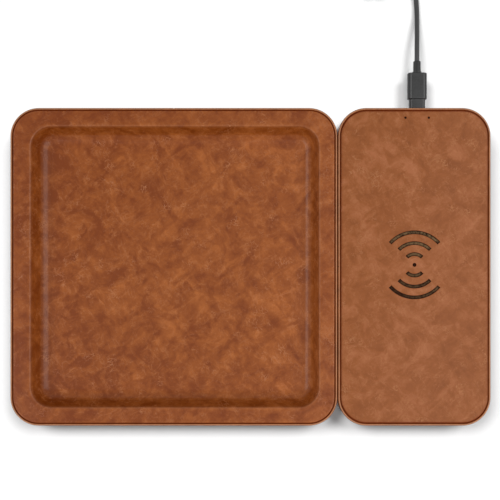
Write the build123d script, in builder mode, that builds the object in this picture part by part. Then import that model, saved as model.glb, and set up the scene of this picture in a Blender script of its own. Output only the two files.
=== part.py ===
from build123d import *
import os
from math import dist, pi, radians, sqrt, tan

# Charging station organizer: a leather-covered catch-all tray and a leather-covered
# wireless charging pad that stand side by side, held together by hidden magnets.
# Millimetres, +X to the right (tray left, pad right), +Y to the rear, +Z up.
# The origin is under the middle of the two modules, on the surface they stand on.

# Both modules
module_depth = 190.8
tray_width = 196.4
charger_width = 91.6
module_gap = 0.4
corner_radius = 17.0
foot_height = 1.0
plate_thickness = 1.6
shell_wall = 2.4
top_leather = 1.0
side_leather = 1.2
turn_under = 3.0
groove_width = 0.6
lip_drop = 0.2
lip_round = 0.5
hem_round = 0.8
panel_round = 0.5
plate_gap = 0.3
overrun = 2.0

# Recess of the tray, measured on the leather
rim_width = 10.9
recess_corner = 12.5
recess_depth = 12.0
wall_run = 4.5
floor_round = 4.5
rim_round = 1.0

# Rubber feet
foot_diameter = 12.0
foot_pocket = 0.6
foot_fit = 0.1
foot_inset = 24.0
foot_round = 0.4

# Screws that hold the base plates
screw_inset = 10.6
screw_diameter = 2.5
screw_length = 8.0
screw_head_diameter = 4.4
screw_head_height = 1.0
screw_drive_width = 0.7
screw_drive_length = 2.6
screw_drive_depth = 0.5
screw_fit = 0.05
head_fit = 0.2
boss_diameter = 6.4
bore_spare = 0.5

# Small screws inside the pad
inner_screw_diameter = 2.0
inner_screw_length = 4.5
inner_head_diameter = 3.8
inner_head_height = 1.2
inner_hole_fit = 0.15

# Magnets that hold the modules together
magnet_length = 20.0
magnet_height = 8.0
magnet_thickness = 3.0
magnet_pocket = 1.4
magnet_fit = 0.1
magnet_inset = 8.4

# Charging mark in the pad's leather: rings above and below a dot
mark_offset = 1.2
mark_dot_diameter = 2.2
mark_bar = 2.1
mark_fit = 0.1
mark_sink = 0.3
mark_radii = [7.5, 14.1, 20.6]
mark_half_angles = [45.0, 46.0, 48.5]

# Charging port, board and status lights
port_offset = 3.4
port_height = 9.5
mouth_reach = 0.2
board_boss_gap = 2.2
board_length = 42.0
board_thickness = 1.6
board_gap = 0.4
board_hole_inset = 4.0
post_diameter = 5.0
post_floor = 0.6
light_offset = 1.6
light_spacing = 14.0
light_inset = 5.9
pipe_diameter = 1.2
pipe_fit = 0.05
pipe_sink = 0.3
pipe_flange_diameter = 2.4
pipe_flange_height = 0.8
led_length = 1.6
led_width = 0.8
led_height = 0.6
led_air = 0.3
chip_size = 7.0
small_chip_size = 4.0
chip_height = 0.9
inductor_size = 6.6
inductor_height = 3.0
inductor_round = 1.2
capacitor_length = 3.2
capacitor_width = 1.6
capacitor_height = 1.5
capacitor_pitch = 4.0

# Charging coil, ferrite and their carrier
coil_outer_diameter = 46.0
coil_inner_diameter = 20.0
coil_thickness = 1.4
ferrite_size = 52.0
ferrite_thickness = 1.0
ferrite_fit = 0.2
carrier_floor = 1.2
carrier_rim = 1.6
carrier_corner = 2.0
ear_diameter = 7.0
ear_reach = 3.0
carrier_boss_diameter = 5.6
lead_diameter = 0.9
lead_spacing = 4.0
lead_notch = 9.0
lead_end_inset = 6.0
lead_rise = 2.0

# Plug in the pad's port: a reversible five-volt plug with a slim overmould
plug_shell_width = 8.25
plug_shell_height = 2.4
plug_shell_length = 6.65
sheet_wall = 0.3
socket_fit = 0.08
plug_gap = 0.5
socket_length = 7.35
tongue_width = 6.69
tongue_thickness = 0.7
tongue_length = 4.45
tongue_base = 0.6
tongue_fit = 0.1
insert_fit = 0.05
insert_length = 6.2
insert_cavity = 4.7
neck_width = 9.8
neck_height = 4.4
neck_round = 1.9
neck_reach = 6.7
neck_fit = 0.4
grip_width = 11.8
grip_height = 6.0
grip_round = 2.6
grip_length = 16.0
grip_edge = 0.4
relief_length = 7.4
relief_root_diameter = 5.4
relief_tip_diameter = 4.4

# Cable, with its coil put away behind the pad
cable_diameter = 3.0
coil_mean_radius = 17.0
turn_pitch = 3.5
layer_pitch = 3.5
turns_per_layer = 4
cable_coil_x = 76.0
cable_coil_y = 193.0
tie_thickness = 0.5
tie_width = 5.0
tie_slack = 0.3
tie_curve_room = 1.0
tie_round = 1.2
tie_fit = 0.1
tie_tab_length = 9.0

# Plug at the far end of the cable: the flat four-pole kind
far_relief_length = 8.0
far_grip_length = 24.0
far_grip_width = 15.8
far_grip_height = 8.0
far_grip_round = 2.4
far_shell_width = 12.0
far_shell_height = 4.5
far_shell_length = 12.0
far_shell_round = 0.4
far_insert_width = 11.2
far_insert_thickness = 1.9
far_insert_length = 10.5

# Heights and places that follow from the sizes above
plate_top = foot_height + plate_thickness
floor_level = plate_top + shell_wall + top_leather
body_height = floor_level + recess_depth
shell_bottom = foot_height + side_leather
shell_top = body_height - top_leather
deck_underside = shell_top - shell_wall
total_width = tray_width + module_gap + charger_width
tray_x = tray_width / 2 - total_width / 2
charger_x = total_width / 2 - charger_width / 2
seam_x = tray_width - total_width / 2
case_rear = module_depth / 2
wall_rear = case_rear - side_leather - shell_wall
port_x = charger_x + port_offset
shell_depth = module_depth - 2 * side_leather
shell_corner = corner_radius - side_leather
recess_width = tray_width - 2 * rim_width
recess_length = module_depth - 2 * rim_width
magnet_spread = module_depth - 2 * (corner_radius + magnet_inset) - magnet_length


def level(centre_x, height):
    """Level sketch plane over the middle of a module."""
    return Plane((centre_x, 0, height))


def rearward(distance):
    """Upright plane across the port, facing the rear, at a distance from the origin."""
    return Plane((port_x, distance, port_height), x_dir=(-1, 0, 0), z_dir=(0, 1, 0))


def finish(piece, name):
    """Label a finished piece and write it."""
    piece.part.label = name
    export_step(piece.part, f"parts/{name}.step")


os.makedirs("parts", exist_ok=True)


# Leather band round a module: it stands up past the shell as a lip and turns under it
def make_side_leather(centre_x, width):
    with BuildPart() as band:
        with BuildSketch(level(centre_x, foot_height)):
            RectangleRounded(width, module_depth, corner_radius)
        extrude(amount=body_height - lip_drop - foot_height)
        fillet(band.edges().group_by(Axis.Z)[0], hem_round)
        fillet(band.edges().group_by(Axis.Z)[-1], lip_round)
        with BuildSketch(level(centre_x, shell_bottom)):
            RectangleRounded(width - 2 * side_leather, shell_depth, shell_corner)
        extrude(amount=body_height, mode=Mode.SUBTRACT)
        with BuildSketch(level(centre_x, foot_height - overrun)):
            hem = side_leather + turn_under
            RectangleRounded(width - 2 * hem, module_depth - 2 * hem, corner_radius - hem)
        extrude(amount=overrun + side_leather + overrun, mode=Mode.SUBTRACT)
    return band


# Base plate of a module: screw holes at the corners and shallow pockets for the feet
def make_base_plate(centre_x, width):
    inset = side_leather + turn_under + plate_gap
    with BuildPart() as plate:
        with BuildSketch(level(centre_x, foot_height)):
            RectangleRounded(width - 2 * inset, module_depth - 2 * inset, corner_radius - inset)
        extrude(amount=plate_thickness)
        with BuildSketch(level(centre_x, foot_height)):
            with GridLocations(width - 2 * foot_inset, module_depth - 2 * foot_inset, 2, 2):
                Circle(foot_diameter / 2 + foot_fit)
        extrude(amount=foot_pocket, mode=Mode.SUBTRACT)
        with BuildSketch(level(centre_x, foot_height)):
            with screw_places(width):
                Circle(screw_head_diameter / 2 + head_fit)
        extrude(amount=screw_head_height, mode=Mode.SUBTRACT)
        with BuildSketch(level(centre_x, foot_height)):
            with screw_places(width):
                Circle(screw_diameter / 2 + screw_fit)
        extrude(amount=plate_thickness, mode=Mode.SUBTRACT)
    return plate


def screw_places(width):
    """Four places near the corners of a module."""
    span = 2 * (side_leather + screw_inset)
    return GridLocations(width - span, module_depth - span, 2, 2)


def make_feet(centre_x, width):
    with BuildPart() as feet:
        with BuildSketch(level(centre_x, 0)):
            with GridLocations(width - 2 * foot_inset, module_depth - 2 * foot_inset, 2, 2):
                Circle(foot_diameter / 2)
        extrude(amount=foot_height + foot_pocket)
        fillet(feet.edges().group_by(Axis.Z)[0], foot_round)
    return feet


def make_screws(centre_x, width):
    with BuildPart() as screws:
        with BuildSketch(level(centre_x, foot_height)):
            with screw_places(width):
                Circle(screw_head_diameter / 2)
        extrude(amount=screw_head_height)
        with BuildSketch(level(centre_x, foot_height + screw_head_height)):
            with screw_places(width):
                Circle(screw_diameter / 2)
        extrude(amount=screw_length)
        with BuildSketch(level(centre_x, foot_height)):
            with screw_places(width):
                Rectangle(screw_drive_length, screw_drive_width)
                Rectangle(screw_drive_width, screw_drive_length)
        extrude(amount=screw_drive_depth, mode=Mode.SUBTRACT)
    return screws


# Hollow box of a module, open below, with a boss for each screw
def make_shell(centre_x, width):
    shell_width = width - 2 * side_leather
    with BuildPart() as shell:
        with BuildSketch(level(centre_x, shell_bottom)):
            RectangleRounded(shell_width, shell_depth, shell_corner)
        extrude(amount=shell_top - shell_bottom)
        with BuildSketch(level(centre_x, shell_bottom)):
            RectangleRounded(
                shell_width - 2 * shell_wall,
                shell_depth - 2 * shell_wall,
                shell_corner - shell_wall,
            )
        extrude(amount=deck_underside - shell_bottom, mode=Mode.SUBTRACT)
        with BuildSketch(level(centre_x, plate_top)):
            with screw_places(width):
                Circle(boss_diameter / 2)
        extrude(amount=deck_underside - plate_top)
    return shell


def make_screw_bores(centre_x, width):
    with BuildPart() as bores:
        with BuildSketch(level(centre_x, plate_top - overrun)):
            with screw_places(width):
                Circle(screw_diameter / 2 + screw_fit)
        tip = foot_height + screw_head_height + screw_length
        extrude(amount=tip + bore_spare + overrun - plate_top)
    return bores


# Magnets sit in pockets on either side of the seam; side is -1 in the tray, +1 in the pad
def magnet_plane(side, depth_in_wall):
    skin = module_gap / 2 + side_leather + shell_wall - depth_in_wall
    middle = seam_x + module_gap / 2
    return Plane(
        (middle + side * skin, 0, (plate_top + deck_underside) / 2),
        x_dir=(0, side, 0),
        z_dir=(side, 0, 0),
    )


def make_magnet_pockets(side):
    with BuildPart() as pockets:
        with BuildSketch(magnet_plane(side, magnet_pocket)):
            with GridLocations(magnet_spread, 0, 2, 1):
                Rectangle(magnet_length + 2 * magnet_fit, magnet_height + 2 * magnet_fit)
        extrude(amount=magnet_pocket + overrun)
    return pockets


def make_magnets(side):
    with BuildPart() as magnets:
        with BuildSketch(magnet_plane(side, magnet_pocket)):
            with GridLocations(magnet_spread, 0, 2, 1):
                Rectangle(magnet_length, magnet_height)
        extrude(amount=magnet_thickness)
    return magnets


# Space of the recess, its surface pushed outward by a thickness
def make_recess(grow, above):
    top_corner = recess_corner + grow
    with BuildPart() as recess:
        with BuildSketch(level(tray_x, body_height)):
            RectangleRounded(recess_width + 2 * grow, recess_length + 2 * grow, top_corner)
        with BuildSketch(level(tray_x, floor_level - grow)):
            RectangleRounded(
                recess_width + 2 * grow - 2 * wall_run,
                recess_length + 2 * grow - 2 * wall_run,
                top_corner - wall_run,
            )
        loft(ruled=True)
        fillet(recess.edges().group_by(Axis.Z)[0], floor_round + grow)
        if above > 0:
            with BuildSketch(level(tray_x, body_height)):
                RectangleRounded(recess_width + 2 * grow, recess_length + 2 * grow, top_corner)
            extrude(amount=above)
    return recess


leather_space = make_recess(0, overrun)
leather_pan = make_recess(top_leather, 0)
shell_space = make_recess(top_leather, overrun)
shell_pan = make_recess(top_leather + shell_wall, 0)

# Tray: shell
tray_block = make_shell(tray_x, tray_width)
tray_bores = make_screw_bores(tray_x, tray_width)
tray_pockets = make_magnet_pockets(-1)
with BuildPart() as tray_shell:
    add(tray_block.part)
    add(shell_pan.part)
    with BuildSketch(level(tray_x, shell_top)):
        Rectangle(tray_width, module_depth)
    extrude(amount=top_leather + overrun, mode=Mode.SUBTRACT)
    add(shell_space.part, mode=Mode.SUBTRACT)
    add(tray_bores.part, mode=Mode.SUBTRACT)
    add(tray_pockets.part, mode=Mode.SUBTRACT)
finish(tray_shell, "tray_shell")

# Tray: leather over the deck and down into the recess, one sheet
panel_inset = side_leather + groove_width
with BuildPart() as tray_top_leather:
    with BuildSketch(level(tray_x, shell_top)):
        RectangleRounded(
            tray_width - 2 * panel_inset,
            module_depth - 2 * panel_inset,
            corner_radius - panel_inset,
        )
    extrude(amount=top_leather)
    fillet(tray_top_leather.edges().group_by(Axis.Z)[-1], panel_round)
    add(leather_pan.part)
    add(leather_space.part, mode=Mode.SUBTRACT)
    rim_x = recess_width / 2 + rim_round
    rim_y = recess_length / 2 + rim_round
    rim_edges = tray_top_leather.edges().group_by(Axis.Z)[-1]
    rim_edges = rim_edges.filter_by_position(Axis.X, tray_x - rim_x, tray_x + rim_x)
    rim_edges = rim_edges.filter_by_position(Axis.Y, -rim_y, rim_y)
    fillet(rim_edges, rim_round)
finish(tray_top_leather, "tray_top_leather")

# Tray: band, base plate, feet, screws and magnets
finish(make_side_leather(tray_x, tray_width), "tray_side_leather")
finish(make_base_plate(tray_x, tray_width), "tray_base_plate")
finish(make_feet(tray_x, tray_width), "tray_feet")
finish(make_screws(tray_x, tray_width), "tray_screws")
finish(make_magnets(-1), "tray_magnets")

# Pad: opening for the plug's neck, through the wall and its leather
with BuildPart() as port_opening:
    with BuildSketch(rearward(wall_rear - overrun)):
        RectangleRounded(
            neck_width + 2 * neck_fit,
            neck_height + 2 * neck_fit,
            neck_round + neck_fit,
        )
    extrude(amount=shell_wall + side_leather + 2 * overrun)

# Pad: holes for the two light pipes, through the deck and its leather
light_x = charger_x + light_offset
light_y = case_rear - light_inset
with BuildPart() as pipe_holes:
    with BuildSketch(Plane((light_x, light_y, deck_underside - overrun))):
        with GridLocations(light_spacing, 0, 2, 1):
            Circle(pipe_diameter / 2 + pipe_fit)
    extrude(amount=body_height + 2 * overrun - deck_underside)

# Pad: heights of the coil stack, hung under the deck
mark_y = mark_offset
coil_bottom = deck_underside - coil_thickness
ferrite_bottom = coil_bottom - ferrite_thickness
carrier_bottom = ferrite_bottom - carrier_floor
carrier_size = ferrite_size + 2 * (ferrite_fit + carrier_rim)
ear_span = carrier_size + 2 * ear_reach

# Pad: shell
pad_block = make_shell(charger_x, charger_width)
pad_bores = make_screw_bores(charger_x, charger_width)
pad_pockets = make_magnet_pockets(1)
with BuildPart() as charger_shell:
    add(pad_block.part)
    with BuildSketch(Plane((charger_x, mark_y, ferrite_bottom))):
        with GridLocations(ear_span, 0, 2, 1):
            Circle(carrier_boss_diameter / 2)
    extrude(amount=deck_underside - ferrite_bottom)
    with BuildSketch(Plane((charger_x, mark_y, ferrite_bottom))):
        with GridLocations(ear_span, 0, 2, 1):
            Circle(inner_screw_diameter / 2 + screw_fit)
    extrude(amount=inner_screw_length + bore_spare - carrier_floor, mode=Mode.SUBTRACT)
    add(pad_bores.part, mode=Mode.SUBTRACT)
    add(pad_pockets.part, mode=Mode.SUBTRACT)
    add(port_opening.part, mode=Mode.SUBTRACT)
    add(pipe_holes.part, mode=Mode.SUBTRACT)
finish(charger_shell, "charger_shell")

# Pad: leather band with the port's opening
pad_band = make_side_leather(charger_x, charger_width)
with BuildPart() as charger_side_leather:
    add(pad_band.part)
    add(port_opening.part, mode=Mode.SUBTRACT)
finish(charger_side_leather, "charger_side_leather")


# Charging mark, as solids of a given height; inset makes the inlay smaller than its cut
def make_mark(bottom, height, inset):
    with BuildPart() as mark:
        with BuildSketch(Plane((charger_x, mark_y, bottom))):
            Circle(mark_dot_diameter / 2 - inset)
            for radius, half_angle in zip(mark_radii, mark_half_angles):
                outer_radius = radius - inset
                inner_radius = radius - mark_bar + inset
                trim = inset / radius * 180 / pi
                sweep_angle = 2 * (half_angle - trim)
                for middle in (90, 270):
                    first = middle - half_angle + trim
                    with BuildLine():
                        outer = CenterArc((0, 0), outer_radius, first, sweep_angle)
                        inner = CenterArc((0, 0), inner_radius, first, sweep_angle)
                        Line(outer @ 0, inner @ 0)
                        Line(outer @ 1, inner @ 1)
                    make_face()
        extrude(amount=height)
    return mark


mark_cut = make_mark(shell_top - overrun, top_leather + 2 * overrun, 0)

# Pad: leather over the deck, with the mark and the light holes cut through
with BuildPart() as charger_top_leather:
    with BuildSketch(level(charger_x, shell_top)):
        RectangleRounded(
            charger_width - 2 * panel_inset,
            module_depth - 2 * panel_inset,
            corner_radius - panel_inset,
        )
    extrude(amount=top_leather)
    fillet(charger_top_leather.edges().group_by(Axis.Z)[-1], panel_round)
    add(mark_cut.part, mode=Mode.SUBTRACT)
    add(pipe_holes.part, mode=Mode.SUBTRACT)
finish(charger_top_leather, "charger_top_leather")
finish(make_mark(shell_top, top_leather - mark_sink, mark_fit), "charge_mark_inlay")

# Pad: feet, screws and magnets
finish(make_feet(charger_x, charger_width), "charger_feet")
finish(make_screws(charger_x, charger_width), "charger_screws")
finish(make_magnets(1), "charger_magnets")

# Pad: heights of the board, which carries the socket at the port's height
boss_reach = side_leather + screw_inset + boss_diameter / 2
board_width = charger_width - 2 * (boss_reach + port_offset + board_boss_gap)
socket_width = plug_shell_width + 2 * (socket_fit + sheet_wall)
socket_height = plug_shell_height + 2 * (socket_fit + sheet_wall)
board_top = port_height - socket_height / 2
board_bottom = board_top - board_thickness
board_rear = wall_rear - board_gap
board_y = board_rear - board_length / 2


def board_plane(height):
    return Plane((port_x, board_y, height))


def board_holes():
    """Four places near the corners of the board."""
    span = 2 * board_hole_inset
    return GridLocations(board_width - span, board_length - span, 2, 2)


# Pad: base plate with four posts for the board
pad_plate = make_base_plate(charger_x, charger_width)
with BuildPart() as charger_base_plate:
    add(pad_plate.part)
    with BuildSketch(board_plane(plate_top)):
        with board_holes():
            Circle(post_diameter / 2)
    extrude(amount=board_bottom - plate_top)
    with BuildSketch(board_plane(plate_top + post_floor)):
        with board_holes():
            Circle(inner_screw_diameter / 2 + screw_fit)
    extrude(amount=board_bottom - plate_top, mode=Mode.SUBTRACT)
finish(charger_base_plate, "charger_base_plate")

# Pad: circuit board
with BuildPart() as circuit_board:
    with BuildSketch(board_plane(board_bottom)):
        Rectangle(board_width, board_length)
        with board_holes():
            Circle(inner_screw_diameter / 2 + inner_hole_fit, mode=Mode.SUBTRACT)
    extrude(amount=board_thickness)
finish(circuit_board, "circuit_board")

# Pad: screws of the board, head up, and of the coil carrier, head down
with BuildPart() as inner_screws:
    with BuildSketch(board_plane(board_top)):
        with board_holes():
            Circle(inner_head_diameter / 2)
    extrude(amount=inner_head_height)
    with BuildSketch(board_plane(board_top)):
        with board_holes():
            Circle(inner_screw_diameter / 2)
    extrude(amount=-inner_screw_length)
    with BuildSketch(Plane((charger_x, mark_y, carrier_bottom))):
        with GridLocations(ear_span, 0, 2, 1):
            Circle(inner_head_diameter / 2)
    extrude(amount=-inner_head_height)
    with BuildSketch(Plane((charger_x, mark_y, carrier_bottom))):
        with GridLocations(ear_span, 0, 2, 1):
            Circle(inner_screw_diameter / 2)
    extrude(amount=inner_screw_length)
finish(inner_screws, "inner_screws")

# Pad: parts on the board
with BuildPart() as controller_chips:
    with BuildSketch(board_plane(board_top)):
        with Locations((-board_width / 5, 0)):
            Rectangle(chip_size, chip_size)
        with Locations((board_width / 5, -board_length / 5)):
            Rectangle(small_chip_size, small_chip_size)
    extrude(amount=chip_height)
finish(controller_chips, "controller_chips")

with BuildPart() as power_inductor:
    with BuildSketch(board_plane(board_top)):
        with Locations((board_width / 5, board_length / 12)):
            RectangleRounded(inductor_size, inductor_size, inductor_round)
    extrude(amount=inductor_height)
finish(power_inductor, "power_inductor")

with BuildPart() as capacitors:
    with BuildSketch(board_plane(board_top)):
        with Locations((-board_width / 5, -board_length / 4)):
            with GridLocations(0, capacitor_pitch / 2 + capacitor_width / 2, 1, 2):
                with GridLocations(capacitor_pitch + capacitor_width / 2, 0, 3, 1):
                    Rectangle(capacitor_length, capacitor_width)
    extrude(amount=capacitor_height)
finish(capacitors, "capacitors")

with BuildPart() as status_leds:
    with BuildSketch(Plane((light_x, light_y, board_top))):
        with GridLocations(light_spacing, 0, 2, 1):
            Rectangle(led_length, led_width)
    extrude(amount=led_height)
finish(status_leds, "status_leds")

# Pad: light pipes, each with a flange glued under the deck
with BuildPart() as light_pipes:
    pipe_bottom = board_top + led_height + led_air
    with BuildSketch(Plane((light_x, light_y, pipe_bottom))):
        with GridLocations(light_spacing, 0, 2, 1):
            Circle(pipe_diameter / 2)
    extrude(amount=body_height - pipe_sink - pipe_bottom)
    with BuildSketch(Plane((light_x, light_y, deck_underside))):
        with GridLocations(light_spacing, 0, 2, 1):
            Circle(pipe_flange_diameter / 2)
    extrude(amount=-pipe_flange_height)
finish(light_pipes, "light_pipes")

# Pad: ferrite and the carrier that holds it and the coil against the deck
with BuildPart() as ferrite_sheet:
    with BuildSketch(Plane((charger_x, mark_y, ferrite_bottom))):
        Rectangle(ferrite_size, ferrite_size)
    extrude(amount=ferrite_thickness)
finish(ferrite_sheet, "ferrite_sheet")

with BuildPart() as coil_carrier:
    with BuildSketch(Plane((charger_x, mark_y, carrier_bottom))):
        RectangleRounded(carrier_size, carrier_size, carrier_corner)
        SlotCenterToCenter(ear_span, ear_diameter)
        with GridLocations(ear_span, 0, 2, 1):
            Circle(inner_screw_diameter / 2 + inner_hole_fit, mode=Mode.SUBTRACT)
    extrude(amount=carrier_floor)
    with BuildSketch(Plane((charger_x, mark_y, ferrite_bottom))):
        RectangleRounded(carrier_size, carrier_size, carrier_corner)
        pocket = ferrite_size + 2 * ferrite_fit
        Rectangle(pocket, pocket, mode=Mode.SUBTRACT)
        with Locations((0, carrier_size / 2)):
            Rectangle(lead_notch, 2 * (carrier_rim + ferrite_fit), mode=Mode.SUBTRACT)
    extrude(amount=deck_underside - ferrite_bottom)
finish(coil_carrier, "coil_carrier")


# Pad: charging coil, its two lead ends running to the board
def lead_points(offset):
    """Route of one lead: along the ferrite, over the carrier's rim and down to the board."""
    lead_x = charger_x + offset
    wire_z = coil_bottom + coil_thickness / 2
    start_y = mark_y + (coil_inner_diameter + coil_outer_diameter) / 4
    end_y = board_y - board_length / 2 + lead_end_inset
    bend_y = end_y - lead_rise
    return [
        (lead_x, start_y, wire_z),
        (lead_x, (start_y + bend_y) / 2, wire_z),
        (lead_x, bend_y, board_top + 2 * lead_rise),
        (lead_x, end_y, board_top + lead_rise),
        (lead_x, end_y, board_top),
    ]


def bend_radii(points):
    """For each corner, 0.45 of the shorter run over the tangent of half the turn."""
    radii = []
    for before, corner, after in zip(points, points[1:], points[2:]):
        turn = (Vector(corner) - Vector(before)).get_angle(Vector(after) - Vector(corner))
        shorter = min(dist(before, corner), dist(corner, after))
        radii.append(0.45 * shorter / tan(radians(turn) / 2))
    return radii


def make_tube(points, diameter):
    """Round tube along straight runs joined by tangent arcs."""
    with BuildPart() as tube:
        with BuildLine() as route:
            FilletPolyline(*points, radius=bend_radii(points))
        path = route.wire()
        with BuildSketch(Plane(path @ 0, z_dir=path % 0)):
            Circle(diameter / 2)
        sweep(path=path)
    share = tube.part.volume / (pi * diameter ** 2 / 4 * path.length)
    print("tube length", round(path.length, 2), "volume share", round(share, 4))
    print("bend radii", [round(radius, 1) for radius in bend_radii(points)])
    return tube


left_lead = make_tube(lead_points(-lead_spacing / 2), lead_diameter)
right_lead = make_tube(lead_points(lead_spacing / 2), lead_diameter)
with BuildPart() as charging_coil:
    with BuildSketch(Plane((charger_x, mark_y, coil_bottom))):
        Circle(coil_outer_diameter / 2)
        Circle(coil_inner_diameter / 2, mode=Mode.SUBTRACT)
    extrude(amount=coil_thickness)
    add(left_lead.part)
    add(right_lead.part)
finish(charging_coil, "charging_coil")

# Pad: socket on the board, a folded metal sleeve round a tongue
socket_mouth = wall_rear + mouth_reach
socket_back = socket_mouth - socket_length
bay_width = socket_width - 2 * sheet_wall
bay_height = socket_height - 2 * sheet_wall
with BuildPart() as socket_shell:
    with BuildSketch(rearward(socket_back)):
        SlotOverall(socket_width, socket_height)
    extrude(amount=socket_length)
    with BuildSketch(rearward(socket_back + sheet_wall)):
        SlotOverall(bay_width, bay_height)
    extrude(amount=socket_length, mode=Mode.SUBTRACT)
finish(socket_shell, "socket_shell")

with BuildPart() as socket_tongue:
    with BuildSketch(rearward(socket_back + sheet_wall)):
        SlotOverall(bay_width - 2 * insert_fit, bay_height - 2 * insert_fit)
    extrude(amount=tongue_base)
    with BuildSketch(rearward(socket_back + sheet_wall + tongue_base)):
        Rectangle(tongue_width, tongue_thickness)
    extrude(amount=tongue_length)
finish(socket_tongue, "socket_tongue")

# Cable: plug in the port
neck_face = socket_mouth + plug_gap
neck_end = case_rear + neck_reach
grip_end = neck_end + grip_length
relief_end = grip_end + relief_length
with BuildPart() as plug_housing:
    with BuildSketch(rearward(neck_face)):
        RectangleRounded(neck_width, neck_height, neck_round)
    extrude(amount=neck_end - neck_face)
    with BuildSketch(rearward(neck_end)):
        RectangleRounded(grip_width, grip_height, grip_round)
    extrude(amount=grip_length)
    fillet(plug_housing.edges().group_by(Axis.Y)[-1], grip_edge)
finish(plug_housing, "plug_housing")

inside_width = plug_shell_width - 2 * sheet_wall
inside_height = plug_shell_height - 2 * sheet_wall
with BuildPart() as plug_shell:
    with BuildSketch(rearward(neck_face)):
        SlotOverall(plug_shell_width, plug_shell_height)
        SlotOverall(inside_width, inside_height, mode=Mode.SUBTRACT)
    extrude(amount=-plug_shell_length)
finish(plug_shell, "plug_shell")

with BuildPart() as plug_insert:
    with BuildSketch(rearward(neck_face)):
        SlotOverall(inside_width - 2 * insert_fit, inside_height - 2 * insert_fit)
    extrude(amount=-insert_length)
    with BuildSketch(rearward(neck_face - insert_length)):
        Rectangle(tongue_width + 2 * tongue_fit, tongue_thickness + 2 * tongue_fit)
    extrude(amount=insert_cavity, mode=Mode.SUBTRACT)
finish(plug_insert, "plug_insert")

with BuildPart() as strain_relief:
    with BuildSketch(rearward(grip_end)):
        Circle(relief_root_diameter / 2)
    with BuildSketch(rearward(relief_end)):
        Circle(relief_tip_diameter / 2)
    loft(ruled=True)
finish(strain_relief, "strain_relief")

# Cable: from the strain relief down to the desk and rearward to the coil
run_points = [
    (101.8, 125.5, 9.5),
    (101.8, 134.0, 9.5),
    (102.7, 146.5, 5.9),
    (103.6, 158.0, 1.6),
    (102.8, 169.0, 2.1),
    (100.0, 180.0, 2.1),
    (100.0, 190.0, 2.1),
]
cable_run = make_tube(run_points, cable_diameter)
finish(cable_run, "cable_run")

# Cable: coil of two layers, in on the lower and out on the upper
coil_low = tie_thickness + tie_fit + cable_diameter / 2


def coil_turns():
    """Half turns of the coil as start, middle and end, about the coil's centre."""
    spread = turns_per_layer * turn_pitch / 2
    reach = coil_mean_radius + spread
    radius = reach - turn_pitch / 4
    height = coil_low
    side = 1
    turns = []
    for step in range(2 * turns_per_layer):
        far = reach - 2 * side * radius
        middle = (reach - side * radius, side * radius, height)
        turns.append(((reach, 0, height), middle, (far, 0, height)))
        reach = far
        side = -side
        radius -= turn_pitch / 2
    far = reach - 2 * side * radius
    rise = layer_pitch / 2
    middle = (reach - side * radius, side * sqrt(radius ** 2 + rise ** 2), height + rise)
    height += layer_pitch
    turns.append(((reach, 0, coil_low), middle, (far, 0, height)))
    reach = far
    for step in range(2 * turns_per_layer - 1):
        side = -side
        radius += turn_pitch / 2
        far = reach - 2 * side * radius
        middle = (reach - side * radius, side * radius, height)
        turns.append(((reach, 0, height), middle, (far, 0, height)))
        reach = far
    return turns, reach, radius + turn_pitch / 2, height


turns, exit_reach, exit_radius, coil_high = coil_turns()
coil_centre = Vector(cable_coil_x, cable_coil_y, 0)


def on_coil(place):
    return coil_centre + Vector(*place)


with BuildPart() as cable_coil:
    with BuildLine() as coil_route:
        entry = on_coil(turns[0][0])
        Line(entry - Vector(0, cable_diameter, 0), entry)
        for start, middle, end in turns:
            if start[2] == end[2]:
                ThreePointArc(on_coil(start), on_coil(middle), on_coil(end))
            else:
                climb = TangentArc(on_coil(start), on_coil(middle), tangent=(0, 1, 0))
                TangentArc(on_coil(middle), on_coil(end), tangent=climb % 1)
        eighth = exit_radius * sqrt(0.5)
        corner = exit_reach - exit_radius
        last = on_coil((corner, exit_radius, coil_high))
        ThreePointArc(
            on_coil((exit_reach, 0, coil_high)),
            on_coil((corner + eighth, eighth, coil_high)),
            last,
        )
        Line(last, last - Vector(cable_diameter, 0, 0))
    coil_path = coil_route.wire()
    with BuildSketch(Plane(coil_path @ 0, z_dir=coil_path % 0)):
        Circle(cable_diameter / 2)
    sweep(path=coil_path)
finish(cable_coil, "cable_coil")


def least_gap(line, diameter):
    """Least gap of a wound tube to itself, on points a third of its diameter apart."""
    count = int(line.length / (diameter / 3))
    places = [tuple(line @ (step / count)) for step in range(count + 1)]
    step_length = line.length / count
    apart = int(3 * diameter / step_length)
    least = min(
        dist(places[first], places[second])
        for first in range(count + 1)
        for second in range(first + apart, count + 1)
    )
    return least - diameter


print("coil length", round(coil_path.length, 2))
print("coil least gap", round(least_gap(coil_path, cable_diameter), 3))
coil_section = pi * cable_diameter ** 2 / 4
coil_share = cable_coil.part.volume / (coil_section * coil_path.length)
print("coil volume share", round(coil_share, 4))

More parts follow.
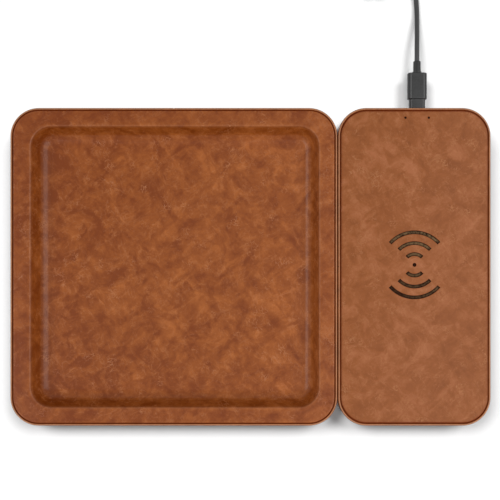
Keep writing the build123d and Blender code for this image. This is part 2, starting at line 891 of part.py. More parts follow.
# Cable: tie round the near side of the coil, with its end tab on top
bundle_outer = turns[1][1][1]
bundle_inner = turns[2 * turns_per_layer - 1][1][1]
tie_from = bundle_outer - cable_diameter / 2 - tie_slack
tie_to = bundle_inner + cable_diameter / 2 + tie_slack + tie_curve_room
tie_low = tie_thickness
tie_high = coil_high + cable_diameter / 2 + tie_fit
tie_x = cable_coil_x + turn_pitch / 4 - tie_width / 2
with BuildPart() as coil_tie:
    tie_y = cable_coil_y + (tie_from + tie_to) / 2
    tie_z = (tie_low + tie_high) / 2
    with BuildSketch(Plane((tie_x, tie_y, tie_z), x_dir=(0, 1, 0), z_dir=(1, 0, 0))):
        RectangleRounded(
            tie_to - tie_from + 2 * tie_thickness,
            tie_high - tie_low + 2 * tie_thickness,
            tie_round,
        )
        RectangleRounded(
            tie_to - tie_from, tie_high - tie_low, tie_round - tie_thickness, mode=Mode.SUBTRACT
        )
    extrude(amount=tie_width)
    with BuildSketch(Plane((tie_x + tie_width / 2, tie_y, tie_high + tie_thickness))):
        Rectangle(tie_width, tie_tab_length)
    extrude(amount=tie_thickness)
finish(coil_tie, "coil_tie")

# Cable: from the coil to the far plug
tail_points = [
    (73.875, 216.125, 5.6),
    (67.0, 216.125, 5.6),
    (57.0, 216.4, 2.6),
    (47.0, 217.4, 1.6),
    (37.0, 217.0, 3.2),
    (29.0, 216.6, 4.0),
    (22.0, 216.6, 4.0),
]
cable_tail = make_tube(tail_points, cable_diameter)
finish(cable_tail, "cable_tail")

# Cable: far plug, lying on the desk beside the coil
far_tip_x = tail_points[-1][0]
far_y = tail_points[-1][1]
far_z = far_grip_height / 2
far_grip_x = far_tip_x - far_relief_length
far_shell_x = far_grip_x - far_grip_length


def leftward(distance, height=far_z):
    """Upright plane across the far plug, facing left, at a place along X."""
    return Plane((distance, far_y, height), x_dir=(0, -1, 0), z_dir=(-1, 0, 0))


with BuildPart() as far_strain_relief:
    with BuildSketch(leftward(far_tip_x)):
        Circle(relief_tip_diameter / 2)
    with BuildSketch(leftward(far_grip_x)):
        Circle(relief_root_diameter / 2)
    loft(ruled=True)
finish(far_strain_relief, "far_strain_relief")

with BuildPart() as far_plug_housing:
    with BuildSketch(leftward(far_grip_x)):
        RectangleRounded(far_grip_width, far_grip_height, far_grip_round)
    extrude(amount=far_grip_length)
    fillet(far_plug_housing.edges().group_by(Axis.X)[-1], grip_edge)
finish(far_plug_housing, "far_plug_housing")

with BuildPart() as far_plug_shell:
    with BuildSketch(leftward(far_shell_x)):
        RectangleRounded(far_shell_width, far_shell_height, far_shell_round)
        Rectangle(
            far_shell_width - 2 * sheet_wall,
            far_shell_height - 2 * sheet_wall,
            mode=Mode.SUBTRACT,
        )
    extrude(amount=far_shell_length)
finish(far_plug_shell, "far_plug_shell")

insert_drop = far_shell_height / 2 - sheet_wall - insert_fit - far_insert_thickness / 2
with BuildPart() as far_plug_insert:
    with BuildSketch(leftward(far_shell_x, far_z - insert_drop)):
        Rectangle(far_insert_width, far_insert_thickness)
    extrude(amount=far_insert_length)
finish(far_plug_insert, "far_plug_insert")
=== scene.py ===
# %% [markdown]
# # Charging station organizer
#
# A square catch-all tray and a slim wireless charging pad stand side by side. Both are plastic
# boxes dressed in brown pull-up leather: one sheet on top, laid in a groove, and one band round
# the sides whose edge stands up as a thin lip. A black cable is plugged into the pad's rear.
#
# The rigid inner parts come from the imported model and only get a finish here. What the eye
# meets first, the leather, the mark and the cable, is modelled again with its own detail.

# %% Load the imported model
import math

import bmesh
import bpy
from mathutils import Matrix, Vector


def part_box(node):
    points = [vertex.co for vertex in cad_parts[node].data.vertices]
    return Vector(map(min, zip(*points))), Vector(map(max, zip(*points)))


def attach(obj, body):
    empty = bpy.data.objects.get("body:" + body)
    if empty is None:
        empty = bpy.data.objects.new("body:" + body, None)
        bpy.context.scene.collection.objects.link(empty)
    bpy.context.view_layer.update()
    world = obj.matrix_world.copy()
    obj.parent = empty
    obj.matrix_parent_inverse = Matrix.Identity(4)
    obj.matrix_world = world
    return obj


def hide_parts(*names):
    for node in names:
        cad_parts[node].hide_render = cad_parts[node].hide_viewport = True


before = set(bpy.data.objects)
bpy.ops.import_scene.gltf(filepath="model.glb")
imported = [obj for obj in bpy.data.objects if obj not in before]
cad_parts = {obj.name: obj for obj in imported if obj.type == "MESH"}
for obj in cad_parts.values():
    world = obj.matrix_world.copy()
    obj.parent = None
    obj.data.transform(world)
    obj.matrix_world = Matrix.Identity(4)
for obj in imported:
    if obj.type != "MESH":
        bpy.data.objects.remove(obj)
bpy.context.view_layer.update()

mm = 0.001


def put_in_scene(name, data):
    """A new object with this data, linked to the scene."""
    item = bpy.data.objects.new(name, data)
    bpy.context.scene.collection.objects.link(item)
    return item


# %% [markdown]
# ## Camera
#
# The picture looks straight down from a little under half a metre. The recess walls show
# how much: each one is seen on its inner side, the rear one a little less than the front one, so
# the lens stands a centimetre behind the middle. A camera with no turn already looks down.

# %% Camera over the object
camera_place = Vector((-0.0003, 0.0101, 0.447))
camera_data = bpy.data.cameras.new("top_camera")
camera_data.sensor_width = 36.0
camera_data.lens = 51.5
camera_data.clip_start = 0.01
camera = put_in_scene("top_camera", camera_data)
camera.location = camera_place
bpy.context.scene.camera = camera
print("camera height", round(camera_place.z, 3))

# %% [markdown]
# ## Helpers for finishes
#
# Colours are written as they look on a screen and turned to linear light by one function. Another
# adds a node, gives it its settings, and fills each input with a value or a link, so
# a material reads as a list of what lies on what. The shader at the end of a material is filled in
# the same way. Patterns are measured in millimetres: the object's own coordinates are divided by one
# millimetre, and a grain of 2 mm then has a scale of one half.

# %% Colour and node helpers
def to_linear(code):
    """Linear red, green, blue and alpha of an sRGB hex colour."""
    parts = [int(code[start:start + 2], 16) / 255 for start in (1, 3, 5)]
    linear = [part / 12.92 if part <= 0.04045 else ((part + 0.055) / 1.055) ** 2.4 for part in parts]
    return (*linear, 1.0)


def fill_inputs(tree, node, inputs):
    """Fill each of these inputs of a node with a value or with a link from another node's socket."""
    for name, value in inputs.items():
        if isinstance(value, bpy.types.NodeSocket):
            tree.links.new(value, node.inputs[name])
        else:
            node.inputs[name].default_value = value


def add_node(tree, kind, inputs=None, **settings):
    """Add a node with its settings and fill its inputs."""
    node = tree.nodes.new(kind)
    for name, value in settings.items():
        setattr(node, name, value)
    fill_inputs(tree, node, inputs or {})
    return node


def start_material(name):
    """A new material: its node tree, its shader and the object's coordinates in millimetres."""
    material = bpy.data.materials.new(name)
    material.use_nodes = True
    tree = material.node_tree
    place = add_node(tree, "ShaderNodeTexCoord")
    in_mm = add_node(
        tree, "ShaderNodeMapping", {"Vector": place.outputs["Object"], "Scale": (1 / mm, 1 / mm, 1 / mm)}
    )
    return material, tree, tree.nodes["Principled BSDF"], in_mm.outputs["Vector"]


# %% [markdown]
# ## Moulded and metal finishes
#
# Most of the small parts are moulded, plated or fired. Seen close, each has a grain that shifts its
# colour a little, a fine relief from the tool that shaped it, and patches that are glossier
# where it was handled. One recipe with different sizes covers them all.

# %% Recipe for moulded, plated and fired parts
grain_weight = 0.6
patch_to_grain = 30


def tones_and_relief(tree, shader, share, dark, light, height, depth, strength):
    """Blend two colours by a share, and raise a relief this many millimetres high from a height."""
    colour = add_node(
        tree, "ShaderNodeMix", {0: share, 6: to_linear(dark), 7: to_linear(light)}, data_type="RGBA"
    )
    bump = add_node(
        tree, "ShaderNodeBump", {"Height": height, "Distance": depth * mm, "Strength": strength}
    )
    fill_inputs(tree, shader, {"Base Color": colour.outputs[2], "Normal": bump.outputs["Normal"]})


def grained(
    name, dark, light, grain, relief, roughness, shine=0.5, metallic=0.0, stretch=(1, 1, 1), reach=(0.5, 1.1)
):
    """Two colours over a grain in millimetres and a relief height; roughness and reach are given low and
    high.
    """
    material, tree, shader, in_mm = start_material(name)
    drawn = add_node(tree, "ShaderNodeMapping", {"Vector": in_mm, "Scale": stretch})
    fine = add_node(
        tree, "ShaderNodeTexNoise",
        {"Vector": drawn.outputs["Vector"], "Scale": 1 / grain, "Detail": 3.0, "Roughness": 0.6},
    )
    broad = add_node(
        tree, "ShaderNodeTexNoise", {"Vector": in_mm, "Scale": 1 / (grain * patch_to_grain), "Detail": 3.0}
    )
    blend = add_node(
        tree, "ShaderNodeMath",
        {0: fine.outputs["Fac"], 1: grain_weight, 2: broad.outputs["Fac"]}, operation="MULTIPLY_ADD",
    )
    spread = add_node(
        tree, "ShaderNodeMapRange",
        {"Value": blend.outputs[0], "From Min": reach[0], "From Max": reach[1]},
    )
    tones_and_relief(tree, shader, spread.outputs[0], dark, light, fine.outputs["Fac"], relief, 0.6)
    gloss = add_node(
        tree, "ShaderNodeMapRange",
        {"Value": broad.outputs["Fac"], "From Min": 0.35, "From Max": 0.65,
         "To Min": roughness[0], "To Max": roughness[1]},
    )
    fill_inputs(
        tree, shader, {"Roughness": gloss.outputs[0], "Metallic": metallic, "Specular IOR Level": shine}
    )
    return material


# Thermoplastic elastomer, moulded over the plug: dark grey, satin, faintly dusty
plug_elastomer = grained("plug_elastomer", "#161616", "#222222", 0.25, 0.004, (0.2, 0.26), shine=0.38)
# Cable jacket, extruded: the same compound, smoother, with a faint draw along its length
jacket_elastomer = grained("jacket_elastomer", "#262626", "#343434", 0.4, 0.01, (0.28, 0.36), shine=0.5)
print("cable finishes", plug_elastomer.name, jacket_elastomer.name)

# %% [markdown]
# ## Cable
#
# The cable is a limp charging lead of 3 mm. It leaves the strain relief level, droops to the desk
# and runs straight to the rear, as the picture shows. Out of the picture the rest is put away as
# a coil of two layers, spiralling in on the desk and out again on top, and a short tail brings the
# far plug alongside. One smooth line through the route's points carries the round section. The
# points of a turn stand out from its circle just so far that the smooth line touches the circle.

# %% Route of the cable, in millimetres
cable_diameter = 3.0
run_points = [
    (101.8, 125.5, 9.5),
    (101.8, 134.0, 9.5),
    (102.7, 146.5, 5.9),
    (103.6, 158.0, 1.6),
    (102.8, 169.0, 2.1),
    (100.0, 180.0, 2.1),
    (100.0, 190.0, 2.1),
]
tail_points = [
    (73.875, 216.125, 5.6),
    (67.0, 216.125, 5.6),
    (57.0, 216.4, 2.6),
    (47.0, 217.4, 1.6),
    (37.0, 217.0, 3.2),
    (29.0, 216.6, 4.0),
    (22.0, 216.6, 4.0),
]
coil_centre = Vector((76.0, 193.0, 0.0))
coil_reach = 24.0
coil_inner_radius = 9.125
coil_low = 2.1
coil_rise = 3.5
layer_half_turns = 8
points_per_half_turn = 8


def coil_points():
    """Half turns that narrow on the lower layer, climb at the middle and widen on the upper one."""
    points = []
    reach = coil_reach
    stand_out = 1 / math.cos(math.pi / points_per_half_turn / 2)
    for half_turn in range(2 * layer_half_turns + 1):
        from_middle = half_turn - layer_half_turns
        radius = coil_inner_radius + abs(from_middle) * coil_rise / 2
        side = 1 if half_turn % 2 == 0 else -1
        count = points_per_half_turn if from_middle < layer_half_turns else points_per_half_turn // 2
        for number in range(count):
            along = (number + 0.5) / points_per_half_turn
            angle = math.pi * (along + (0 if side > 0 else 1))
            climbed = min(max(from_middle + along, 0.0), 1.0)
            points.append(coil_centre + Vector((
                reach - side * radius + radius * stand_out * math.cos(angle),
                radius * stand_out * math.sin(angle),
                coil_low + coil_rise * climbed,
            )))
        reach -= 2 * side * radius
    return points


route = [Vector(point) for point in run_points] + coil_points() + [Vector(point) for point in tail_points]
print("route points", len(route))

# %% Cable as one smooth round line
cable_curve = bpy.data.curves.new("charging_cable", "CURVE")
cable_curve.dimensions = "3D"
cable_curve.bevel_depth = cable_diameter / 2 * mm
cable_curve.bevel_resolution = 5
cable_curve.use_fill_caps = True
spline = cable_curve.splines.new("NURBS")
spline.points.add(len(route) - 1)
for control, point in zip(spline.points, route):
    control.co = (*(point * mm), 1.0)
spline.order_u = 3
spline.use_endpoint_u = True
spline.resolution_u = 6
cable_curve.materials.append(jacket_elastomer)
cable = put_in_scene("charging_cable", cable_curve)
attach(cable, "cable")
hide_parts("cable_run", "cable_coil", "cable_tail")
print("cable line", round(spline.calc_length(), 3), "m")

# %% [markdown]
# ## Helpers for shapes
#
# Almost every piece here is a rounded rectangle carried through several levels: the band round a
# module, the sheet that lies on it and dips into the recess, the plug. The first level starts as
# four corners, which a bevel turns into arcs, or as a circle. Its ring of edges is extruded, and
# each new vertex slides to the same spot of the same corner on the next level, so the levels may
# change size, corner and even turn from a rectangle to a circle. Bridging separate rings was the
# other way, but rings that lie in one plane come out twisted. A bevel then rounds each
# level that has a radius. All of it is done in millimetres. Each level also carries a tone: above
# zero where the finish is rubbed pale, partly as a painted highlight, below where it is burnished
# dark, partly as painted shade, and the leather reads it.

# %% Levels of a rounded rectangle, extruded one from the other
arc_steps = 16
round_steps = 4
row_length = 5


def first_level(bm, outline, inset, height):
    """The face of the first level, from centre, size and corner; a full corner is a circle."""
    centre_x, centre_y, width, length, corner = outline
    if corner * 2 >= width:
        middle = Matrix.Translation((centre_x, centre_y, height))
        bmesh.ops.create_circle(
            bm, cap_ends=True, segments=4 * arc_steps, radius=corner - inset, matrix=middle
        )
    else:
        corners = []
        for side_x, side_y in ((-1, -1), (1, -1), (1, 1), (-1, 1)):
            reach_x, reach_y = side_x * (width / 2 - inset), side_y * (length / 2 - inset)
            corners.append(bm.verts.new((centre_x + reach_x, centre_y + reach_y, height)))
        bm.faces.new(corners)
        bmesh.ops.bevel(
            bm, geom=corners, offset=corner - inset, offset_type="OFFSET", segments=arc_steps,
            profile=0.5, affect="VERTICES", clamp_overlap=False, material=-1,
        )
    return list(bm.faces)[-1]


def ring_edges(ring):
    """The edges that join the vertices of a ring to each other."""
    inside = set(ring)
    found = {edge: True for vert in ring for edge in vert.link_edges if edge.other_vert(vert) in inside}
    return list(found)


def next_level(bm, ring, here, there):
    """Extrude a ring from one row's level to the next one's and return the new ring."""
    grown = bmesh.ops.extrude_edge_only(bm, edges=ring_edges(ring))["geom"]
    moved = [item for item in grown if isinstance(item, bmesh.types.BMVert)]
    (old_x, old_y, old_width, old_length, old_corner), old_inset = here[:2]
    (new_x, new_y, new_width, new_length, new_corner), new_inset = there[:2]
    share = (new_corner - new_inset) / (old_corner - old_inset)
    for vert in moved:
        side_x = math.copysign(1, vert.co.x - old_x)
        side_y = math.copysign(1, vert.co.y - old_y)
        from_x = old_x + side_x * (old_width / 2 - old_corner)
        from_y = old_y + side_y * (old_length / 2 - old_corner)
        to_x = new_x + side_x * (new_width / 2 - new_corner)
        to_y = new_y + side_y * (new_length / 2 - new_corner)
        vert.co = (to_x + share * (vert.co.x - from_x), to_y + share * (vert.co.y - from_y), there[2])
    return moved


def rounding(before, here, after, radius):
    """How far back from an edge a bevel starts to give a radius there."""
    turn = (here - before).angle(after - here)
    return radius * math.tan(turn / 2)


def build_levels(rows, closed=False):
    """A solid from rows of outline, inset, height, radius and tone; closed joins last to first.

    A row may leave out its tone, or its radius and its tone, which are 0 then.
    """
    rows = [(*row, 0, 0)[:row_length] for row in rows]
    bm = bmesh.new()
    tones = bm.verts.layers.float.new("tone")
    cap = first_level(bm, *rows[0][:3])
    rings = [list(cap.verts)]
    for here, there in zip(rows, rows[1:]):
        rings.append(next_level(bm, rings[-1], here, there))
    if closed:
        bmesh.ops.delete(bm, geom=[cap], context="FACES_ONLY")
        back = next_level(bm, rings[-1], rows[-1], rows[0])
        pairs = {vert: min(rings[0], key=lambda first: (first.co - vert.co).length) for vert in back}
        bmesh.ops.weld_verts(bm, targetmap=pairs)
    else:
        bmesh.ops.contextual_create(bm, geom=ring_edges(rings[-1]))
    for ring, row in zip(rings, rows):
        for vert in ring:
            vert[tones] = row[4]
    profile = [Vector((row[0][2] / 2 - row[1], row[2])) for row in rows]
    inner_rows = range(len(rows)) if closed else range(1, len(rows) - 1)
    for number in inner_rows:
        radius = rows[number][3]
        if radius > 0:
            before, here, after = profile[number - 1], profile[number], profile[(number + 1) % len(rows)]
            bmesh.ops.bevel(
                bm, geom=ring_edges(rings[number]), offset=rounding(before, here, after, radius),
                offset_type="OFFSET", segments=round_steps + round(radius), profile=0.5, affect="EDGES",
                clamp_overlap=False, material=-1,
            )
    bmesh.ops.recalc_face_normals(bm, faces=bm.faces)
    return bm


# %% Turn a built shape into an object, and into a piece of the organizer
sharp_angle = math.radians(38)


def make_object(bm, name, turn=None):
    """An object at the origin whose mesh is the built shape, turned if asked and scaled to metres."""
    if turn is not None:
        bmesh.ops.transform(bm, matrix=turn, verts=bm.verts)
    bmesh.ops.scale(bm, vec=(mm, mm, mm), verts=bm.verts)
    mesh = bpy.data.meshes.new(name)
    bm.to_mesh(mesh)
    bm.free()
    return put_in_scene(name, mesh)


def cut_away(piece, cutter):
    """Take the cutter's shape out of a piece, and the cutter out of the scene."""
    cut = piece.modifiers.new("cut", "BOOLEAN")
    cut.object = cutter
    cut.operation = "DIFFERENCE"
    cut.solver = "EXACT"
    graph = bpy.context.evaluated_depsgraph_get()
    result = bpy.data.meshes.new_from_object(piece.evaluated_get(graph))
    piece.modifiers.clear()
    piece.data = result
    bpy.data.objects.remove(cutter)


def finish_piece(piece, material, body, stands_for):
    """Smooth the rounds, keep the creases, give the finish, hang the piece on its body and hide the parts it
    stands for.
    """
    bm = bmesh.new()
    bm.from_mesh(piece.data)
    for face in bm.faces:
        face.smooth = True
    for edge in bm.edges:
        edge.smooth = edge.calc_face_angle(0.0) < sharp_angle
    loose = sum(1 for edge in bm.edges if not edge.is_manifold)
    bm.to_mesh(piece.data)
    bm.free()
    piece.data.materials.clear()
    piece.data.materials.append(material)
    flat = piece.modifiers.new("flat_faces", "WEIGHTED_NORMAL")
    flat.keep_sharp = True
    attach(piece, body)
    if stands_for:
        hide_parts(*stands_for)
    print(piece.name, "faces", len(piece.data.polygons), "open edges", loose)


# %% [markdown]
# ## Leather
#
# The cover is pull-up leather as it is made for desk goods: a thin polyurethane film, printed and
# waxed so that it lightens where it is bent. The eye gets four things from it: faint clouds as long
# as a thumb, brushy strokes of orange and brown that lean both ways, pale wisps and clusters of fine
# scratches, and a pebbled grain with a satin gloss. The clouds and patches are noises and a cell
# pattern, warped so that no straight edge is left. The strokes are noises stretched along crossing
# diagonals, and a wisp lies where such a noise passes its middle value. A painted light makes the
# leather a little paler from the tray's left side to its right one. The tone of each level rubs the
# edges pale, partly as a painted highlight, burnishes the groove, and paints a little shade on the
# tray's deck.

# %% Leather: sizes in millimetres, leans in degrees, and a brushed noise
patch_size = 9.0
cloud_size = 17.0
stroke_size = 5.5
stroke_leans = (38, -52)
wisp_size = 9.0
wisp_leans = (25, -60)
wisp_share = 0.012
scratch_size = 2.2
cluster_size = 10.0
pebble_size = 0.9
crease_to_pebble = 1.5
leather_relief = 0.04


def stroked(tree, place, lean, size, detail):
    """A noise stretched along a diagonal that leans this many degrees, of strokes this wide."""
    slanted = add_node(
        tree, "ShaderNodeMapping",
        {"Vector": place, "Rotation": (0, 0, math.radians(lean)), "Scale": (1.0, 3.0, 1.0)},
        vector_type="TEXTURE",
    )
    return add_node(
        tree, "ShaderNodeTexNoise",
        {"Vector": slanted.outputs["Vector"], "Scale": 1 / size, "Detail": detail,
         "Roughness": 0.66, "Distortion": 0.5},
    ).outputs["Fac"]


# %% Leather: marbling
def warp_place(tree, place):
    """The same coordinates, pushed about by up to one patch so that no straight edge is left."""
    warp = add_node(
        tree, "ShaderNodeTexNoise",
        {"Vector": place, "Scale": 1 / patch_size, "Detail": 5.0, "Roughness": 0.62},
    )
    return add_node(
        tree, "ShaderNodeVectorMath",
        {0: warp.outputs["Color"], 1: (patch_size, patch_size, patch_size), 2: place},
        operation="MULTIPLY_ADD",
    ).outputs[0]


def marble(tree, in_mm, warped, clouds, tones):
    """Patches of brushed strokes under clouds, from three tones; the strokes are returned as well."""
    patches = add_node(
        tree, "ShaderNodeTexVoronoi",
        {"Vector": warped, "Scale": 1 / patch_size, "Smoothness": 0.4}, feature="SMOOTH_F1",
    )
    patch = add_node(tree, "ShaderNodeSeparateColor", {"Color": patches.outputs["Color"]})
    strokes = [stroked(tree, warped, lean, stroke_size, 6.0) for lean in stroke_leans]
    brushed = add_node(
        tree, "ShaderNodeMix", {0: patch.outputs["Green"], 2: strokes[0], 3: strokes[1]}
    ).outputs[0]
    some = add_node(tree, "ShaderNodeMath", {0: clouds, 1: 0.8, 2: brushed}, operation="MULTIPLY_ADD")
    more = add_node(
        tree, "ShaderNodeMath",
        {0: patch.outputs["Red"], 1: 0.1, 2: some.outputs[0]}, operation="MULTIPLY_ADD",
    )
    # Painted light: the leather grows a little paler towards the right, as if lit more from that side.
    across = add_node(tree, "ShaderNodeSeparateXYZ", {"Vector": in_mm})
    side_light = add_node(
        tree, "ShaderNodeMapRange",
        {"Value": across.outputs["X"], "From Min": -140.0, "From Max": 40.0, "To Min": -0.1, "To Max": 0.01},
    )
    with_side_light = add_node(tree, "ShaderNodeMath", {0: more.outputs[0], 1: side_light.outputs[0]}, operation="ADD")
    share = add_node(
        tree, "ShaderNodeMapRange", {"Value": with_side_light.outputs[0], "From Min": 0.75, "From Max": 1.17}
    )
    marbled = add_node(tree, "ShaderNodeValToRGB", {"Fac": share.outputs[0]})
    dark, middle, light = tones
    ramp = marbled.color_ramp
    ramp.elements[0].color = to_linear(dark)
    ramp.elements[1].color = to_linear(light)
    ramp.elements.new(0.5).color = to_linear(middle)
    return marbled.outputs[0], brushed


# %% Leather: creases
def creases(tree, place, warped, brushed):
    """Where the leather is creased: single wisps in the pale strokes, and clusters of scratches."""
    wisps = [
        add_node(
            tree, "ShaderNodeMath",
            {0: stroked(tree, place, lean, wisp_size, 3.0), 1: 0.5, 2: wisp_share}, operation="COMPARE",
        ).outputs[0]
        for lean in wisp_leans
    ]
    wisp = add_node(tree, "ShaderNodeMath", {0: wisps[0], 1: wisps[1]}, operation="MAXIMUM")
    where = add_node(
        tree, "ShaderNodeMapRange", {"Value": brushed, "From Min": 0.44, "From Max": 0.64, "To Max": 0.32}
    )
    long = add_node(tree, "ShaderNodeMath", {0: wisp.outputs[0], 1: where.outputs[0]}, operation="MULTIPLY")
    cells = add_node(
        tree, "ShaderNodeTexVoronoi", {"Vector": warped, "Scale": 1 / scratch_size},
        feature="DISTANCE_TO_EDGE",
    )
    scratches = add_node(
        tree, "ShaderNodeMapRange",
        {"Value": cells.outputs["Distance"], "From Min": 0.0, "From Max": 0.09,
         "To Min": 1.0, "To Max": 0.0},
    )
    spots = add_node(
        tree, "ShaderNodeTexNoise",
        {"Vector": place, "Scale": 1 / cluster_size, "Detail": 4.0, "Roughness": 0.7},
    )
    clusters = add_node(
        tree, "ShaderNodeMapRange",
        {"Value": spots.outputs["Fac"], "From Min": 0.55, "From Max": 0.68, "To Max": 0.9},
    )
    fine = add_node(
        tree, "ShaderNodeMath", {0: scratches.outputs[0], 1: clusters.outputs[0]}, operation="MULTIPLY"
    )
    both = add_node(tree, "ShaderNodeMath", {0: fine.outputs[0], 1: long.outputs[0]}, operation="MAXIMUM")
    return both.outputs[0]


# %% Leather: edges, relief and gloss
def blend_by_tone(tree, own, other, full_tone):
    """Mix another colour over a socket's own one, from none at tone 0 to all of it at the full tone."""
    edge = add_node(tree, "ShaderNodeAttribute", attribute_name="tone")
    share = add_node(
        tree, "ShaderNodeMapRange", {"Value": edge.outputs["Fac"], "From Min": 0.0, "From Max": full_tone}
    )
    return add_node(
        tree, "ShaderNodeMix", {0: share.outputs[0], 6: own, 7: to_linear(other)}, data_type="RGBA"
    ).outputs[2]


def pull_up_leather(name, tones, crease, rub_and_highlight, burnish_and_shade, shine, offset):
    """Marbled leather from three tones and its creases; a pale colour for rubbing and painted highlights, a
    dark one for burnishing and painted shade.
    """
    material, tree, shader, in_mm = start_material(name)
    place = add_node(tree, "ShaderNodeMapping", {"Vector": in_mm, "Location": offset}).outputs["Vector"]
    warped = warp_place(tree, place)
    clouds = add_node(
        tree, "ShaderNodeTexNoise",
        {"Vector": place, "Scale": 1 / cloud_size, "Detail": 7.0, "Roughness": 0.66, "Distortion": 1.2},
    ).outputs["Fac"]
    marbled, brushed = marble(tree, in_mm, warped, clouds, tones)
    creased = creases(tree, place, warped, brushed)
    with_creases = add_node(
        tree, "ShaderNodeMix", {0: creased, 6: marbled, 7: to_linear(crease)}, data_type="RGBA"
    ).outputs[2]
    # Positive tones mix in the pale colour, partly as a painted highlight; negative ones mix in the dark
    # colour, partly as painted shade.
    with_rub_and_highlight = blend_by_tone(tree, with_creases, rub_and_highlight, 1.0)
    with_burnish_and_shade = blend_by_tone(tree, with_rub_and_highlight, burnish_and_shade, -1.0)
    pebbles = add_node(tree, "ShaderNodeTexVoronoi", {"Vector": place, "Scale": 1 / pebble_size})
    height = add_node(
        tree, "ShaderNodeMath",
        {0: creased, 1: -crease_to_pebble, 2: pebbles.outputs["Distance"]}, operation="MULTIPLY_ADD",
    )
    relief = add_node(
        tree, "ShaderNodeBump",
        {"Height": height.outputs[0], "Distance": leather_relief * mm, "Strength": 0.7},
    )
    gloss = add_node(tree, "ShaderNodeMapRange", {"Value": clouds, "To Min": 0.16, "To Max": 0.28})
    fill_inputs(tree, shader, {
        "Base Color": with_burnish_and_shade, "Roughness": gloss.outputs[0], "Normal": relief.outputs["Normal"],
        "Specular IOR Level": shine,
    })
    return material


# %% Three leathers from the recipe
# Dark brown for burnished edges and for painted shade
burnish_and_shade_brown = "#6e2904"
# Cover of the tray: the deepest orange and the glossiest, from waxing the pan
tray_leather = pull_up_leather(
    "tray_pull_up_leather", ("#7b3808", "#934d1b", "#ac612b"), "#b8764a", "#b98565", burnish_and_shade_brown,
    0.22, (0, 0, 0),
)
# Cover of the pad: paler and drier, as on a sheet that is only stretched flat
pad_leather = pull_up_leather(
    "pad_pull_up_leather", ("#884e2b", "#955832", "#a76743"), "#b57a54", "#bd8a69", burnish_and_shade_brown,
    0.07, (310, 120, 0),
)
# Bands: the same leather, with a lip that is rubbed nearly to the bare backing and made paler still by a
# painted highlight
band_leather = pull_up_leather(
    "band_pull_up_leather", ("#723c1c", "#8b4c25", "#a35c2d"), "#b27650", "#cf9c78", burnish_and_shade_brown,
    0.04, (-90, 240, 50),
)
print("leathers", tray_leather.name, pad_leather.name, band_leather.name)

# %% [markdown]
# ## Outlines
#
# The modules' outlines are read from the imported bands, so everything below follows the model.
# The insets are the layers that a cutter would name: the band, the groove beside it, and the rim
# round the recess.

# %% Outlines of the two modules and of the recess, in millimetres
module_corner = 17.0
band_thickness = 1.2
groove_width = 0.6
hem_width = 3.0
foot_height = 1.0
panel_inset = band_thickness + groove_width


def outline_of(node, corner):
    """Centre, size and corner of a node's box seen from above, in millimetres."""
    low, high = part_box(node)
    middle, size = (low + high) / 2 / mm, (high - low) / mm
    return (middle.x, middle.y, size.x, size.y, corner)


tray_outline = outline_of("tray_side_leather", module_corner)
pad_outline = outline_of("charger_side_leather", module_corner)
shell_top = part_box("tray_shell")[1].z / mm
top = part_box("tray_top_leather")[1].z / mm
lip_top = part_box("tray_side_leather")[1].z / mm
rim_width = 10.9
rim_shift = 0.6
recess_corner = 12.5
recess_outline = (
    tray_outline[0] + rim_shift, tray_outline[1], tray_outline[2] - 2 * rim_width - 2 * rim_shift,
    tray_outline[3] - 2 * rim_width, recess_corner,
)
print("tray", [round(value, 1) for value in tray_outline])
print("pad", [round(value, 1) for value in pad_outline], "top", round(top, 2), "lip", round(lip_top, 2))

# %% [markdown]
# ## Tray cover
#
# One sheet of leather lies on the deck, rolls over the rim, lines the sloping wall and covers the
# floor. The levels below go once round its section: out along the underside, up the cut edge, back
# over the top and down to the floor. The bevels roll the rim and lay the leather into the
# bottom edge in a soft round, which is where the picture shows its long highlights. The levels
# that lie in one plane are there for their tones: they let a painted shade on the flat deck fade out.
# The panel's edge and the rim's edge are rubbed a little pale, partly as a painted highlight.

# %% Tray cover from its underside to its floor
leather = 1.0
recess_depth = 12.0
wall_run = 4.5
floor_round = 7.2
flat_start = 0.75 * floor_round
rim_round = 1.0
panel_round = 0.5
edge_fade = 1.4
rim_fade = 2.2
# Painted shade: the flat deck round the recess is darkened a little.
painted_rim_shade = -0.18
wall_fade_share = 0.2
floor = top - recess_depth
under_wall = -leather + wall_run * leather / (recess_depth + leather)
cover_rows = [
    (recess_outline, wall_run + flat_start, floor - leather),
    (recess_outline, wall_run - leather, floor - leather, floor_round + leather),
    (recess_outline, under_wall, shell_top),
    (tray_outline, panel_inset, shell_top, 0, -1),
    # The panel's edge and the rim's edge get a pale tone: rubbed, and partly a painted highlight.
    (tray_outline, panel_inset, top, panel_round, 0.1),
    (tray_outline, panel_inset + edge_fade, top, 0, painted_rim_shade),
    (recess_outline, -rim_fade, top, 0, painted_rim_shade),
    (recess_outline, 0, top, rim_round, 0.15),
    (recess_outline, wall_run * wall_fade_share, top - recess_depth * wall_fade_share),
    (recess_outline, wall_run, floor, floor_round),
    (recess_outline, wall_run + flat_start, floor),
]
tray_cover = make_object(build_levels(cover_rows), "tray_leather_cover")
finish_piece(tray_cover, tray_leather, "tray", ["tray_top_leather"])

# %% [markdown]
# ## Bands round the modules
#
# Each band is a strip of the same leather, skived and glued to the side of the box. Its lower edge
# is turned under the box, and its upper edge stands up as a lip a fifth of a millimetre below
# the cover. A ribbon of its flesh side closes the bottom of the groove, so that no black plastic
# shows.

# %% Bands with lip, hem and groove ribbon
shell_bottom = foot_height + band_thickness
lip_round = 0.5
lip_fade = 1.6
hem_round = 0.8
cut_round = 0.3
ribbon_thickness = 0.1
ribbon_gap = 0.02


